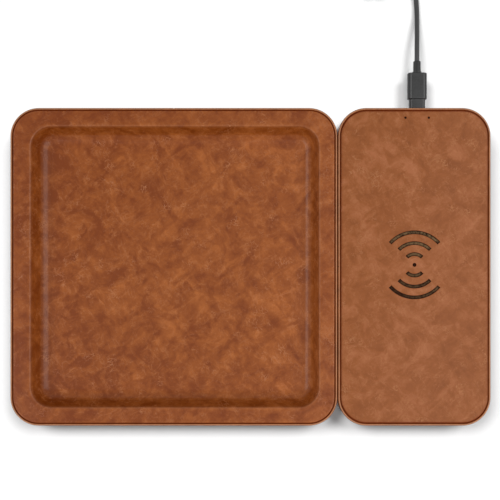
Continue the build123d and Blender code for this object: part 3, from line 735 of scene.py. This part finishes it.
def band_rows(outline):
    """Section of a band, once round from the hem's free edge."""
    ribbon_low = shell_top + ribbon_gap
    ribbon_high = ribbon_low + ribbon_thickness
    return [
        (outline, band_thickness + hem_width, shell_bottom),
        (outline, band_thickness + hem_width, foot_height, cut_round, -0.4),
        (outline, 0, foot_height, hem_round),
        (outline, 0, lip_top - lip_fade),
        (outline, 0, lip_top - lip_round, lip_round / 2, -0.8),
        # The lip's pale tone is rubbed wear and partly a painted highlight.
        (outline, lip_round, lip_top, lip_round / 2, 0.8),
        (outline, band_thickness, lip_top, cut_round, -0.2),
        (outline, band_thickness, ribbon_high, 0, -1),
        (outline, panel_inset - ribbon_gap, ribbon_high, 0, -1),
        (outline, panel_inset - ribbon_gap, ribbon_low, 0, -1),
        (outline, band_thickness, ribbon_low, 0, -1),
    ]


tray_band = make_object(build_levels(band_rows(tray_outline), closed=True), "tray_leather_band")
print("band section", len(band_rows(tray_outline)), "levels")

# %% [markdown]
# ## Pad cover and the charging mark
#
# The pad's cover is one flat sheet. The mark, a dot between rings that show where a phone goes, is
# punched through it, and a dark film set a little lower shows in the punched places. A ring
# segment is swung round the dot from its own upright section, once a little wider as the punch, and
# once as the film itself. The punch flares at the top, so the cut edges come out soft without
# another bevel. Two pinholes near the plug let the status lights through.

# %% Shapes of the mark
mark_dot_diameter = 2.2
mark_bar = 2.1
mark_rings = [(7.5, 45.0), (14.1, 46.0), (20.6, 48.5)]
mark_fit = 0.1
swing_steps = 28
merge_distance = 0.001
mark_low, mark_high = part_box("charge_mark_inlay")
mark_centre = (mark_low + mark_high) / 2 / mm


def swing_section(bm, outline, middle, first=0.0, swing=2 * math.pi):
    """Swing an upright outline of radius and height round a middle; a full swing starts at the axis."""
    verts = [bm.verts.new((radius, 0, height)) for radius, height in outline]
    whole = swing >= 2 * math.pi
    edges = [bm.edges.new(pair) for pair in zip(verts, verts[1:])]
    faces = [] if whole else [bm.faces.new(verts)]
    if not whole:
        edges = list(faces[0].edges)
    bmesh.ops.rotate(bm, cent=(0, 0, 0), matrix=Matrix.Rotation(first, 3, "Z"), verts=verts)
    bmesh.ops.spin(
        bm, geom=verts + edges + faces, cent=(0, 0, 0), axis=(0, 0, 1), angle=swing,
        steps=swing_steps, use_merge=whole,
    )
    fresh = [vert for vert in bm.verts if not vert.tag]
    bmesh.ops.remove_doubles(bm, verts=fresh, dist=merge_distance)
    fresh = [vert for vert in bm.verts if not vert.tag]
    bmesh.ops.translate(bm, vec=middle, verts=fresh)
    for vert in fresh:
        vert.tag = True


def build_mark(inset, low, high, flare=0.0):
    """Dot and ring segments between two heights, drawn in by an inset, flared at the top if asked."""
    bm = bmesh.new()
    bm.verts.layers.float.new("tone")
    middle = (mark_centre.x, mark_centre.y, 0)
    radius = mark_dot_diameter / 2 - inset
    dot = [(0, low), (radius, low), (radius, high - flare), (radius + flare, high), (0, high)]
    swing_section(bm, dot, middle)
    for ring_radius, half_angle in mark_rings:
        outer = ring_radius - inset
        inner = ring_radius - mark_bar + inset
        swing = 2 * (math.radians(half_angle) - inset / ring_radius)
        bar = [
            (inner, low), (outer, low), (outer, high - flare), (outer + flare, high),
            (inner - flare, high), (inner, high - flare),
        ]
        for facing in (90, 270):
            swing_section(bm, bar, middle, math.radians(facing) - swing / 2, swing)
    bmesh.ops.remove_doubles(bm, verts=bm.verts, dist=merge_distance)
    bmesh.ops.recalc_face_normals(bm, faces=bm.faces)
    return bm


# %% Burnish and shade the walls of a cut
# The cut tone burnishes the cut walls dark and paints shade inside the cuts.
cut_tone = -0.9
border_width = 1.0
level_slack = 0.02


def burnish_and_shade_cuts(piece, outline):
    """Give the cut tone to a cover's vertices below its top, away from its own left and right sides."""
    reach = outline[2] / 2 - panel_inset - border_width
    bm = bmesh.new()
    bm.from_mesh(piece.data)
    tones = bm.verts.layers.float["tone"]
    for vert in bm.verts:
        place = vert.co / mm
        if place.z < top - level_slack and abs(place.x - outline[0]) < reach:
            vert[tones] = cut_tone
    bm.to_mesh(piece.data)
    bm.free()


# %% Pad cover, punched for the mark and the lights
overrun = 2.0
punch_rise = 0.3
cut_softness = 0.15
hole_diameter = 1.3
light_spacing = 14.0
light_low, light_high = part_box("light_pipes")
light_place = (light_low + light_high) / 2 / mm
pad_rows = [
    (pad_outline, panel_inset, shell_top, 0, -1),
    (pad_outline, panel_inset, top, panel_round, -0.35),
    (pad_outline, panel_inset + edge_fade, top),
]
pad_cover = make_object(build_levels(pad_rows), "pad_leather_cover")
punch = build_mark(0, shell_top - overrun, top + punch_rise, cut_softness + punch_rise)
cut_away(pad_cover, make_object(punch, "punch"))
pins = bmesh.new()
pin_radius = hole_diameter / 2
pin_flare = cut_softness + punch_rise
pin_outline = [
    (0, shell_top - overrun), (pin_radius, shell_top - overrun), (pin_radius, top - cut_softness),
    (pin_radius + pin_flare, top + punch_rise), (0, top + punch_rise),
]
for side in (-1, 1):
    swing_section(pins, pin_outline, (light_place.x + side * light_spacing / 2, light_place.y, 0))
bmesh.ops.recalc_face_normals(pins, faces=pins.faces)
cut_away(pad_cover, make_object(pins, "pins"))
burnish_and_shade_cuts(pad_cover, pad_outline)
finish_piece(pad_cover, pad_leather, "charger", ["charger_top_leather"])

# %% [markdown]
# ## Film of the mark
#
# The film in the mark is embossed like the leather round it, so in the picture its black catches
# small grey glints. It is thermoplastic film: the base is nearly black, and the crests of its
# grain are painted a warm grey as glints. A painted shade runs as a dark line round each segment,
# along the walls of the cut, and widens at its ends, and a painted light leaves the front left of
# the mark darkest. The upper faces are inset by that line's width, and a tone from 0 (lit) to -1
# (in full painted shade) on their vertices tells the finish how much of the black is left. The
# finish blends by it as the leather's does, so its colour goes through the same function before it
# reaches the shader.

# %% Film in the mark
film_edge = 0.6
film_top = mark_high.z / mm
end_fade = 3.0
middle_film_shade = 0.5
film_shade_slope = Vector((-0.01, -0.014, 0))


# Painted shade by the walls and ends of each segment, and painted light growing towards the rear right.
def film_shade_tone(place):
    """Tone of the film at a place: painted shade near -1 by the ends of a ring segment, painted light growing
    to the rear right.
    """
    offset = place - Vector((mark_centre.x, mark_centre.y, place.z))
    half_angle = next((half for radius, half in mark_rings if offset.length < radius), 0)
    away = abs(abs(math.degrees(math.atan2(offset.y, offset.x))) - 90)
    from_end = math.radians(half_angle - away) * offset.length
    film_shade = middle_film_shade + offset.dot(film_shade_slope)
    return -min(1, max(0, film_shade, 1 - from_end / end_fade))


def shade_film_edges(bm, height, width):
    """Inset the faces at a height by a line's width: in full painted shade outside the inset, shaded by place
    inside it.
    """
    tones = bm.verts.layers.float["tone"]
    for vert in bm.verts:
        vert[tones] = -1.0
    upper = [face for face in bm.faces if min(vert.co.z for vert in face.verts) > height - level_slack]
    bmesh.ops.inset_region(bm, faces=upper, thickness=width, use_boundary=True, use_even_offset=True)
    for vert in {vert for face in upper for vert in face.verts}:
        vert[tones] = film_shade_tone(vert.co)


# Thermoplastic film, embossed: nearly black and dry, with its crests painted a warm grey as glints
mark_film_finish = grained(
    "embossed_mark_film", "#0c0502", "#826849", 1.5, 0.12, (0.4, 0.5), shine=0.03, reach=(0.72, 0.9)
)
film_tree = mark_film_finish.node_tree
film_colour = film_tree.nodes["Principled BSDF"].inputs["Base Color"]
# Painted shade: tone -1 mixes a brown-black over the film's colour.
with_film_shade = blend_by_tone(film_tree, film_colour.links[0].from_socket, "#240b03", -1.0)
film_tree.links.new(with_film_shade, film_colour)
film_shape = build_mark(mark_fit, shell_top, film_top)
shade_film_edges(film_shape, film_top, film_edge)
mark_film = make_object(film_shape, "mark_film")
finish_piece(mark_film, mark_film_finish, "charger", ["charge_mark_inlay"])

# %% [markdown]
# ## Pad band and the seams
#
# The pad's band is pierced for the plug by a stadium-shaped knife. A band is one strip, so its ends
# must meet somewhere: a tray's ends meet in the middle of the rear, and the pad's on the side that
# faces the tray. The butt seam is a fine slot in the leather.

# %% Pad band with its port, and the butt seams
port_width = 10.6
port_height = 5.2
port_corner = 2.3
seam_width = 0.35
seam_depth = 0.4
plug_low, plug_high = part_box("plug_housing")
port = (plug_low + plug_high) / 2 / mm
rear = pad_outline[3] / 2
rearward = Matrix.Rotation(math.radians(-90), 4, "X")


def knife(place, size):
    """A straight-sided cutter with its middle at a place."""
    bm = bmesh.new()
    bmesh.ops.create_cube(bm, size=1.0, matrix=Matrix.Translation(place) @ Matrix.Diagonal((*size, 1)))
    return make_object(bm, "knife")


pad_band = make_object(build_levels(band_rows(pad_outline), closed=True), "pad_leather_band")
port_outline = (0, 0, port_width, port_height, port_corner)
port_softness = 0.3
port_rows = [
    (port_outline, 0, rear - 2 * overrun),
    (port_outline, 0, rear - port_softness),
    (port_outline, -port_softness - overrun, rear + overrun),
]
port_place = Matrix.Translation((port.x, 0, port.z)) @ rearward
cut_away(pad_band, make_object(build_levels(port_rows), "port_knife", port_place))
pad_left = pad_outline[0] - pad_outline[2] / 2
cut_away(pad_band, knife((pad_left, 0, top / 2), (2 * seam_depth, seam_width, 2 * top)))
cut_away(tray_band, knife((tray_outline[0], rear, top / 2), (seam_width, 2 * seam_depth, 2 * top)))
finish_piece(tray_band, band_leather, "tray", ["tray_side_leather"])
finish_piece(pad_band, band_leather, "charger", ["charger_side_leather"])

# %% [markdown]
# ## Plug and strain relief
#
# The plug's overmould is one dark elastomer body. Its narrow neck sits in the port, its grip is a
# stadium in section, and a short sleeve behind it keeps the cable from kinking. The neck, the
# grip and the sleeve are levels again, laid down so that they run to the rear. The shoulder between
# neck and grip and the grip's rear edge get the small round of a moulded edge, and the sleeve steps
# down to a slimmer tail.

# %% Plug body and sleeve
neck_outline = (0, 0, 9.8, 4.4, 1.9)
grip_outline = (0, 0, 11.8, 6.0, 2.6)
neck_start = plug_low.y / mm
neck_chamfer = 0.3
grip_start = 102.1
grip_end = plug_high.y / mm
inner_round = 0.2
shoulder_round = 0.45
grip_round = 0.5
plug_rows = [
    (neck_outline, neck_chamfer, neck_start),
    (neck_outline, 0, neck_start + neck_chamfer),
    (neck_outline, 0, grip_start, inner_round),
    (grip_outline, 0, grip_start, shoulder_round),
    (grip_outline, 0, grip_end, grip_round),
    (grip_outline, 1.8, grip_end),
]
plug_body = make_object(build_levels(plug_rows), "plug_body", port_place)
finish_piece(plug_body, plug_elastomer, "cable", ["plug_housing"])
relief_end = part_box("strain_relief")[1].y / mm
relief_wide = (0, 0, 5.4, 5.4, 2.7)
relief_slim = (0, 0, 4.7, 4.7, 2.35)
collar_length = 0.8
step_length = 0.4
step_start = grip_end + collar_length
step_end = step_start + step_length
relief_rows = [
    (relief_wide, 1.5, grip_end),
    (relief_wide, 0, grip_end, inner_round),
    (relief_wide, 0, step_start, inner_round),
    (relief_slim, 0, step_end, inner_round),
    (relief_slim, 0.1, relief_end, shoulder_round),
    (relief_slim, 0.8, relief_end),
]
plug_sleeve = make_object(build_levels(relief_rows), "plug_sleeve", port_place)
finish_piece(plug_sleeve, plug_elastomer, "cable", ["strain_relief"])

# %% [markdown]
# ## Far plug
#
# The far end is the wide rectangular plug of a power adapter: a moulded grip with a hollow in each
# broad side for the thumb, and a drawn steel shell with its two square catch windows. The hollows
# are left by a stretched sphere, which a boolean takes out. The shell is a closed ring of levels, so
# it is open to the front like the real one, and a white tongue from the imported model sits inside.

# %% Far plug: sleeve, grip and steel shell
# The far plug sits on the end of the tail, and its levels give their own places along X
far_place = Vector((0, *tail_points[-1][1:]))
leftward = Matrix(((0, 0, 1, 0), (1, 0, 0, 0), (0, 1, 0, 0), (0, 0, 0, 1)))
far_turn = Matrix.Translation(far_place) @ leftward
far_grip_low, far_grip_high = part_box("far_plug_housing")
far_sleeve_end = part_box("far_strain_relief")[1].x / mm
far_grip_start, far_grip_end = far_grip_low.x / mm, far_grip_high.x / mm
far_shell_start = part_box("far_plug_shell")[0].x / mm
far_outline = (0, 0, 15.8, 8.0, 2.4)
far_rows = [
    (far_outline, 1.6, far_grip_start),
    (far_outline, 0, far_grip_start, grip_round),
    (far_outline, 0, far_grip_end, 0.6),
    (far_outline, 2.3, far_grip_end),
]
far_grip = make_object(build_levels(far_rows), "far_plug_grip", far_turn)
thumb_forward = 3.0
thumb_height = 8.0
thumb_reach = (9.0, 6.0, 4.5)
thumb = bmesh.new()
for side in (-1, 1):
    thumb_place = far_place + Vector((thumb_forward, 0, side * thumb_height))
    bmesh.ops.create_uvsphere(
        thumb, u_segments=48, v_segments=24, radius=1.0,
        matrix=Matrix.Translation(thumb_place) @ Matrix.Diagonal((*thumb_reach, 1)),
    )
cut_away(far_grip, make_object(thumb, "thumb"))
finish_piece(far_grip, plug_elastomer, "cable", ["far_plug_housing"])
far_sleeve_rows = [
    (relief_wide, 1.5, far_grip_end),
    (relief_wide, 0, far_grip_end, inner_round),
    (relief_slim, 0, far_sleeve_end, shoulder_round),
    (relief_slim, 0.8, far_sleeve_end),
]
far_sleeve = make_object(build_levels(far_sleeve_rows), "far_plug_sleeve", far_turn)
finish_piece(far_sleeve, plug_elastomer, "cable", ["far_strain_relief"])
shell_outline = (0, 0, 12.0, 4.5, 0.45)
shell_wall = 0.3
far_shell_rows = [
    (shell_outline, 0, far_grip_start),
    (shell_outline, 0, far_shell_start, 0.1),
    (shell_outline, shell_wall, far_shell_start, 0.1),
    (shell_outline, shell_wall, far_grip_start),
]
far_shell = make_object(build_levels(far_shell_rows, closed=True), "far_plug_sleeve_steel", far_turn)
window_size = 2.2
window_from_tip = 6.0
window_offset = 2.9
for side in (-1, 1):
    window_place = far_place + Vector((far_shell_start + window_from_tip, side * window_offset, 0))
    cut_away(far_shell, knife(window_place, (window_size, window_size, 2 * far_place.z)))
# Drawn and nickel-plated steel: pale, with the faint lines of the die along the shell
drawn_nickel = grained(
    "drawn_nickel", "#a5a39e", "#b9b7b2", 0.25, 0.01, (0.2, 0.34), metallic=1.0, stretch=(0.15, 1, 1)
)
finish_piece(far_shell, drawn_nickel, "cable", ["far_plug_shell"])

# %% [markdown]
# ## Tie round the coil
#
# A woven hook-and-loop strap keeps the coil together. The strap is a flat ring round the turns, and
# its free end lies on top. The weave is drawn by two wave patterns that cross, a little coarser
# than real tape, because its threads of a third of a millimetre would not show. A wave texture runs
# through twenty radians in one unit, which the wave turns below allow for.

# %% Woven finish of the tie
thread_spacing = 0.6
thread_relief = 0.1
wave_turns = 20 / (2 * math.pi)


def woven(name, dark, light):
    """Two crossing waves for warp and weft, a dark and a light thread colour, no gloss."""
    material, tree, shader, in_mm = start_material(name)
    waves = [
        add_node(
            tree, "ShaderNodeTexWave",
            {"Vector": in_mm, "Scale": 1 / (thread_spacing * wave_turns), "Distortion": 0.6, "Detail": 1.0},
            bands_direction=direction,
        )
        for direction in ("X", "Y")
    ]
    threads = add_node(
        tree, "ShaderNodeMath", {0: waves[0].outputs["Fac"], 1: waves[1].outputs["Fac"]}, operation="MULTIPLY"
    )
    raised = threads.outputs[0]
    tones_and_relief(tree, shader, raised, dark, light, raised, thread_relief, 0.8)
    fill_inputs(tree, shader, {"Roughness": 0.85, "Sheen Weight": 0.3})
    return material


strap_weave = woven("hook_and_loop_weave", "#0c0c0c", "#2b2b2c")
print("weave", strap_weave.name)

# %% Tie strap and its free end
tie_low, tie_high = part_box("coil_tie")
strap_start, strap_end = tie_low.x / mm, tie_high.x / mm
strap_wall = 0.5
strap_corner = 1.7
strap_round = 0.12
tab_height = 0.5
strap_high = tie_high.z / mm - tab_height
strap_width = (tie_high.y - tie_low.y) / mm
strap_middle = (tie_low.y + tie_high.y) / 2 / mm
strap_outline = (strap_middle, strap_high / 2, strap_width, strap_high, strap_corner)
strap_rows = [
    (strap_outline, 0, strap_start, strap_round),
    (strap_outline, 0, strap_end, strap_round),
    (strap_outline, strap_wall, strap_end, strap_round),
    (strap_outline, strap_wall, strap_start, strap_round),
]
strap = build_levels(strap_rows, closed=True)
bmesh.ops.transform(strap, matrix=leftward, verts=strap.verts)
strap_piece = make_object(strap, "tie_strap")
finish_piece(strap_piece, strap_weave, "cable", ["coil_tie"])
tab_length = 9.0
tab_corner = 1.2
tab_lift = 0.05
tab_outline = ((strap_start + strap_end) / 2, strap_middle, strap_end - strap_start, tab_length, tab_corner)
tab_rows = [
    (tab_outline, 0.3, strap_high),
    (tab_outline, 0, strap_high + tab_lift),
    (tab_outline, 0, strap_high + tab_height, 0.15),
    (tab_outline, 0.6, strap_high + tab_height),
]
strap_tab = make_object(build_levels(tab_rows), "tie_strap_end")
finish_piece(strap_tab, strap_weave, "cable", [])

# %% [markdown]
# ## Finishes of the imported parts
#
# The shells, plates, feet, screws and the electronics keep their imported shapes. Each gets the
# finish of its real material. Most of it is hidden, but the underside, the port and the light holes
# can be seen from below, from behind and when the plug is out.

# %% Finishes for moulded plastic, rubber and metal
# Injection-moulded ABS with an eroded texture: near black, matt, with soft glossier patches
textured_abs = grained("textured_abs", "#161616", "#212121", 0.5, 0.05, (0.45, 0.6))
# The same ABS on the base plates, a shade greyer from the plate's coarser texture
plate_abs = grained("plate_abs", "#1a1a1a", "#262626", 0.7, 0.08, (0.5, 0.65))
# Compression-moulded silicone feet: matt black that holds a little dust
foot_silicone = grained("foot_silicone", "#131313", "#1f1e1d", 0.4, 0.03, (0.6, 0.8))
# Steel screws in black zinc: dark metal with a blue cast
black_zinc = grained("black_zinc_steel", "#3b3c40", "#4b4c50", 0.2, 0.01, (0.3, 0.42), metallic=1.0)
# Sintered magnets, nickel plated and tumbled: bright, slightly warm metal
tumbled_nickel = grained("tumbled_nickel", "#b5b1a8", "#c6c2b9", 0.4, 0.01, (0.12, 0.25), metallic=1.0)
# Solder mask over glass laminate: dark green, satin
solder_mask = grained("solder_mask", "#0d3a22", "#124a2c", 0.6, 0.02, (0.3, 0.4))
# Moulded epoxy of the chips: charcoal, fine matt
chip_epoxy = grained("chip_epoxy", "#171717", "#222222", 0.15, 0.01, (0.5, 0.6))
# Sintered ferrite: cool dark grey, dry
sintered_ferrite = grained("sintered_ferrite", "#2b2b2d", "#38383b", 0.3, 0.03, (0.6, 0.75))
# Fired ceramic of the capacitors: tan, satin
fired_ceramic = grained("fired_ceramic", "#8a6a48", "#a5825c", 0.2, 0.01, (0.35, 0.45))
# Clear resin of the status lights, slightly milky
led_resin_cast = grained("cast_led_resin", "#d8d7c4", "#e8e7da", 0.3, 0.01, (0.15, 0.25))
# Smoked acrylic of the light pipes: dark warm brown with a polished end
smoked_acrylic = grained("smoked_acrylic", "#1a0803", "#2b1106", 0.3, 0.01, (0.25, 0.35), shine=0.05)
# Glass-filled nylon of the connector tongues: black, dry
glass_nylon = grained("glass_filled_nylon", "#111111", "#1b1b1b", 0.2, 0.02, (0.45, 0.55))
# White liquid-crystal polymer of the far plug's tongue
white_polymer = grained("white_polymer", "#cfcec8", "#dddcd6", 0.3, 0.01, (0.3, 0.4))

# %% [markdown]
# ## Winding of the charging coil
#
# The coil is enamelled litz wire wound in a flat spiral, hidden under the leather. Wires are drawn as
# rings round the coil's middle, one bump for each turn. The Mapping node moves the pattern's middle
# to the coil.

# %% Copper winding
wire_spacing = 1.3
wire_relief = 0.3
strands_per_mm = 3.0
winding, winding_tree, winding_shader, winding_mm = start_material("enamelled_litz_wire")
round_coil = add_node(
    winding_tree, "ShaderNodeMapping",
    {"Vector": winding_mm, "Location": (-mark_centre.x, -mark_centre.y, 0), "Scale": (1, 1, 0)},
)
turns = add_node(
    winding_tree, "ShaderNodeTexWave",
    {"Vector": round_coil.outputs["Vector"], "Scale": 1 / (wire_spacing * wave_turns), "Distortion": 0.05},
    wave_type="RINGS", rings_direction="SPHERICAL",
)
strands = add_node(
    winding_tree, "ShaderNodeTexNoise", {"Vector": winding_mm, "Scale": strands_per_mm, "Detail": 3.0}
)
lit = add_node(
    winding_tree, "ShaderNodeMath",
    {0: strands.outputs["Fac"], 1: 0.3, 2: turns.outputs["Fac"]}, operation="MULTIPLY_ADD",
)
tones_and_relief(
    winding_tree, winding_shader, lit.outputs[0], "#4a2208", "#c46f35", turns.outputs["Fac"],
    wire_relief, 0.8,
)
fill_inputs(winding_tree, winding_shader, {"Metallic": 0.8, "Roughness": 0.35})
print("winding", winding.name)

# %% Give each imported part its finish
packed_finishes = {
    textured_abs: ["tray_shell", "charger_shell", "coil_carrier"],
    plate_abs: ["tray_base_plate", "charger_base_plate"],
    foot_silicone: ["tray_feet", "charger_feet"],
    black_zinc: ["tray_screws", "charger_screws", "inner_screws"],
    tumbled_nickel: ["tray_magnets", "charger_magnets"],
    solder_mask: ["circuit_board"],
    chip_epoxy: ["controller_chips"],
    sintered_ferrite: ["power_inductor", "ferrite_sheet"],
    fired_ceramic: ["capacitors"],
    led_resin_cast: ["status_leds"],
    smoked_acrylic: ["light_pipes"],
    winding: ["charging_coil"],
    drawn_nickel: ["socket_shell", "plug_shell"],
    glass_nylon: ["socket_tongue", "plug_insert"],
    white_polymer: ["far_plug_insert"],
}
for finish, nodes in packed_finishes.items():
    for node in nodes:
        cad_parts[node].material_slots[0].material = finish
print("packed parts finished", sum(len(nodes) for nodes in packed_finishes.values()))

# %% [markdown]
# ## The cable's facts
#
# The picture shows about nine centimetres of the cable. A lead packed with such a pad is one metre
# long with its plugs, so the cable between the two sleeves is 0.97 m. The plugs, the sleeves
# and the tie go wherever the cable goes.

# %% [markdown]
# ## Floor and backdrop
#
# The product picture is cut out on white, with a soft shadow a few millimetres wide to the front and
# the sides. The floor is matt paper, lit by three lamps of its own, whose light the object doesn't
# get. Two lean from the rear left and the rear right and throw its shadow. The left one leans
# further and is stronger, because the picture's shadow is darker on the right. A weak third one
# shines straight down and keeps the notch between the modules from going black. The world behind
# is white for the camera, mirrors and glass, and about a third as bright for all the rest.

# %% Floor, in millimetres
floor_half_size = 3000.0
floor_drop = 0.05
floor_place = Matrix.Translation((0, 0, -floor_drop))
floor_bm = bmesh.new()
bmesh.ops.create_grid(floor_bm, x_segments=1, y_segments=1, size=floor_half_size, matrix=floor_place)
floor_piece = make_object(floor_bm, "studio_floor")
paper = bpy.data.materials.new("matt_white_paper")
paper.use_nodes = True
fill_inputs(
    paper.node_tree, paper.node_tree.nodes["Principled BSDF"],
    {"Base Color": to_linear("#7c7c7c"), "Roughness": 0.9, "Specular IOR Level": 0.0},
)
floor_piece.data.materials.append(paper)

# %% Three lamps for the floor alone
floor_lamp_spread = 22
floor_lamps = {
    "left_floor_lamp": ((0.53, -0.47, -1), 8.2),
    "right_floor_lamp": ((-0.45, -0.47, -1), 7.5),
    "upper_floor_lamp": ((0, 0, -1), 2.4),
}
floor_only = bpy.data.collections.new("floor_only")
floor_only.objects.link(floor_piece)
for name, (lean, energy) in floor_lamps.items():
    floor_lamp_data = bpy.data.lights.new(name, "SUN")
    floor_lamp_data.energy = energy
    floor_lamp_data.angle = math.radians(floor_lamp_spread)
    floor_lamp = put_in_scene(name, floor_lamp_data)
    floor_lamp.rotation_euler = Vector(lean).to_track_quat("-Z", "Y").to_euler()
    floor_lamp.light_linking.receiver_collection = floor_only

# %% World
world_strength = 0.35
world = bpy.data.worlds.new("pale_room")
world.use_nodes = True
bpy.context.scene.world = world
world_tree = world.node_tree
sky = world_tree.nodes["Background"]
rays = add_node(world_tree, "ShaderNodeLightPath")
mirrored = add_node(
    world_tree, "ShaderNodeMath",
    {0: rays.outputs["Is Camera Ray"], 1: rays.outputs["Is Glossy Ray"]}, operation="ADD",
)
seen_directly = add_node(
    world_tree, "ShaderNodeMath",
    {0: mirrored.outputs[0], 1: rays.outputs["Is Transmission Ray"]}, operation="ADD",
)
level = add_node(
    world_tree, "ShaderNodeMapRange",
    {"Value": seen_directly.outputs[0], "To Min": world_strength, "To Max": 1.0},
)
fill_inputs(world_tree, sky, {"Strength": level.outputs[0], "Color": to_linear("#ffffff")})
print("floor and world ready")

# %% [markdown]
# ## Lights
#
# The long highlights on the recess's left and right edges, and their absence at the front and rear
# ones, say that two softboxes a metre long hung left and right of the table. The right one is
# wider, because the right side of both modules is paler. A weak broad one overhead and the even
# world light fill the shadows. None of the three reaches the floor, which has its own lamps. Two
# small strips reach only the plug's body, and draw the pale line down each of its rounded sides.

# %% What the softboxes reach
all_but_floor = bpy.data.collections.new("all_but_floor")
all_but_floor.objects.link(floor_piece)
all_but_floor.collection_objects[0].light_linking.link_state = "EXCLUDE"
plug_only = bpy.data.collections.new("plug_only")
plug_only.objects.link(plug_body)
print("softboxes leave out", floor_piece.name, "and two reach only", plug_body.name)


# %% Five softboxes
def softbox(name, place, size, power, aim=(0, 0, 0), receivers=all_but_floor):
    """A rectangular area light that faces a point, the table's middle if none is given."""
    data = bpy.data.lights.new(name, "AREA")
    data.shape = "RECTANGLE"
    data.size, data.size_y = size
    data.energy = power
    light = put_in_scene(name, data)
    light.location = place
    light.rotation_euler = (Vector(aim) - Vector(place)).to_track_quat("-Z", "Y").to_euler()
    light.visible_camera = False
    light.light_linking.receiver_collection = receivers
    return light


plug_middle = (port.x * mm, 0.11, port.z * mm)
softboxes = [
    softbox("left_softbox", (-0.65, -0.15, 0.7), (1.0, 0.4), 3.3),
    softbox("right_softbox", (0.55, -0.15, 0.75), (1.0, 0.7), 4.7),
    softbox("overhead_softbox", (0.2, -0.2, 1.05), (1.1, 1.1), 1.1),
    softbox("left_plug_strip", (-0.29, 0.33, 0.91), (0.5, 0.3), 1.6, plug_middle, plug_only),
    softbox("right_plug_strip", (0.65, 0.31, 0.81), (0.5, 0.3), 0.95, plug_middle, plug_only),
]
bpy.context.scene.view_settings.view_transform = "Standard"
print("lights", [light.name for light in softboxes])
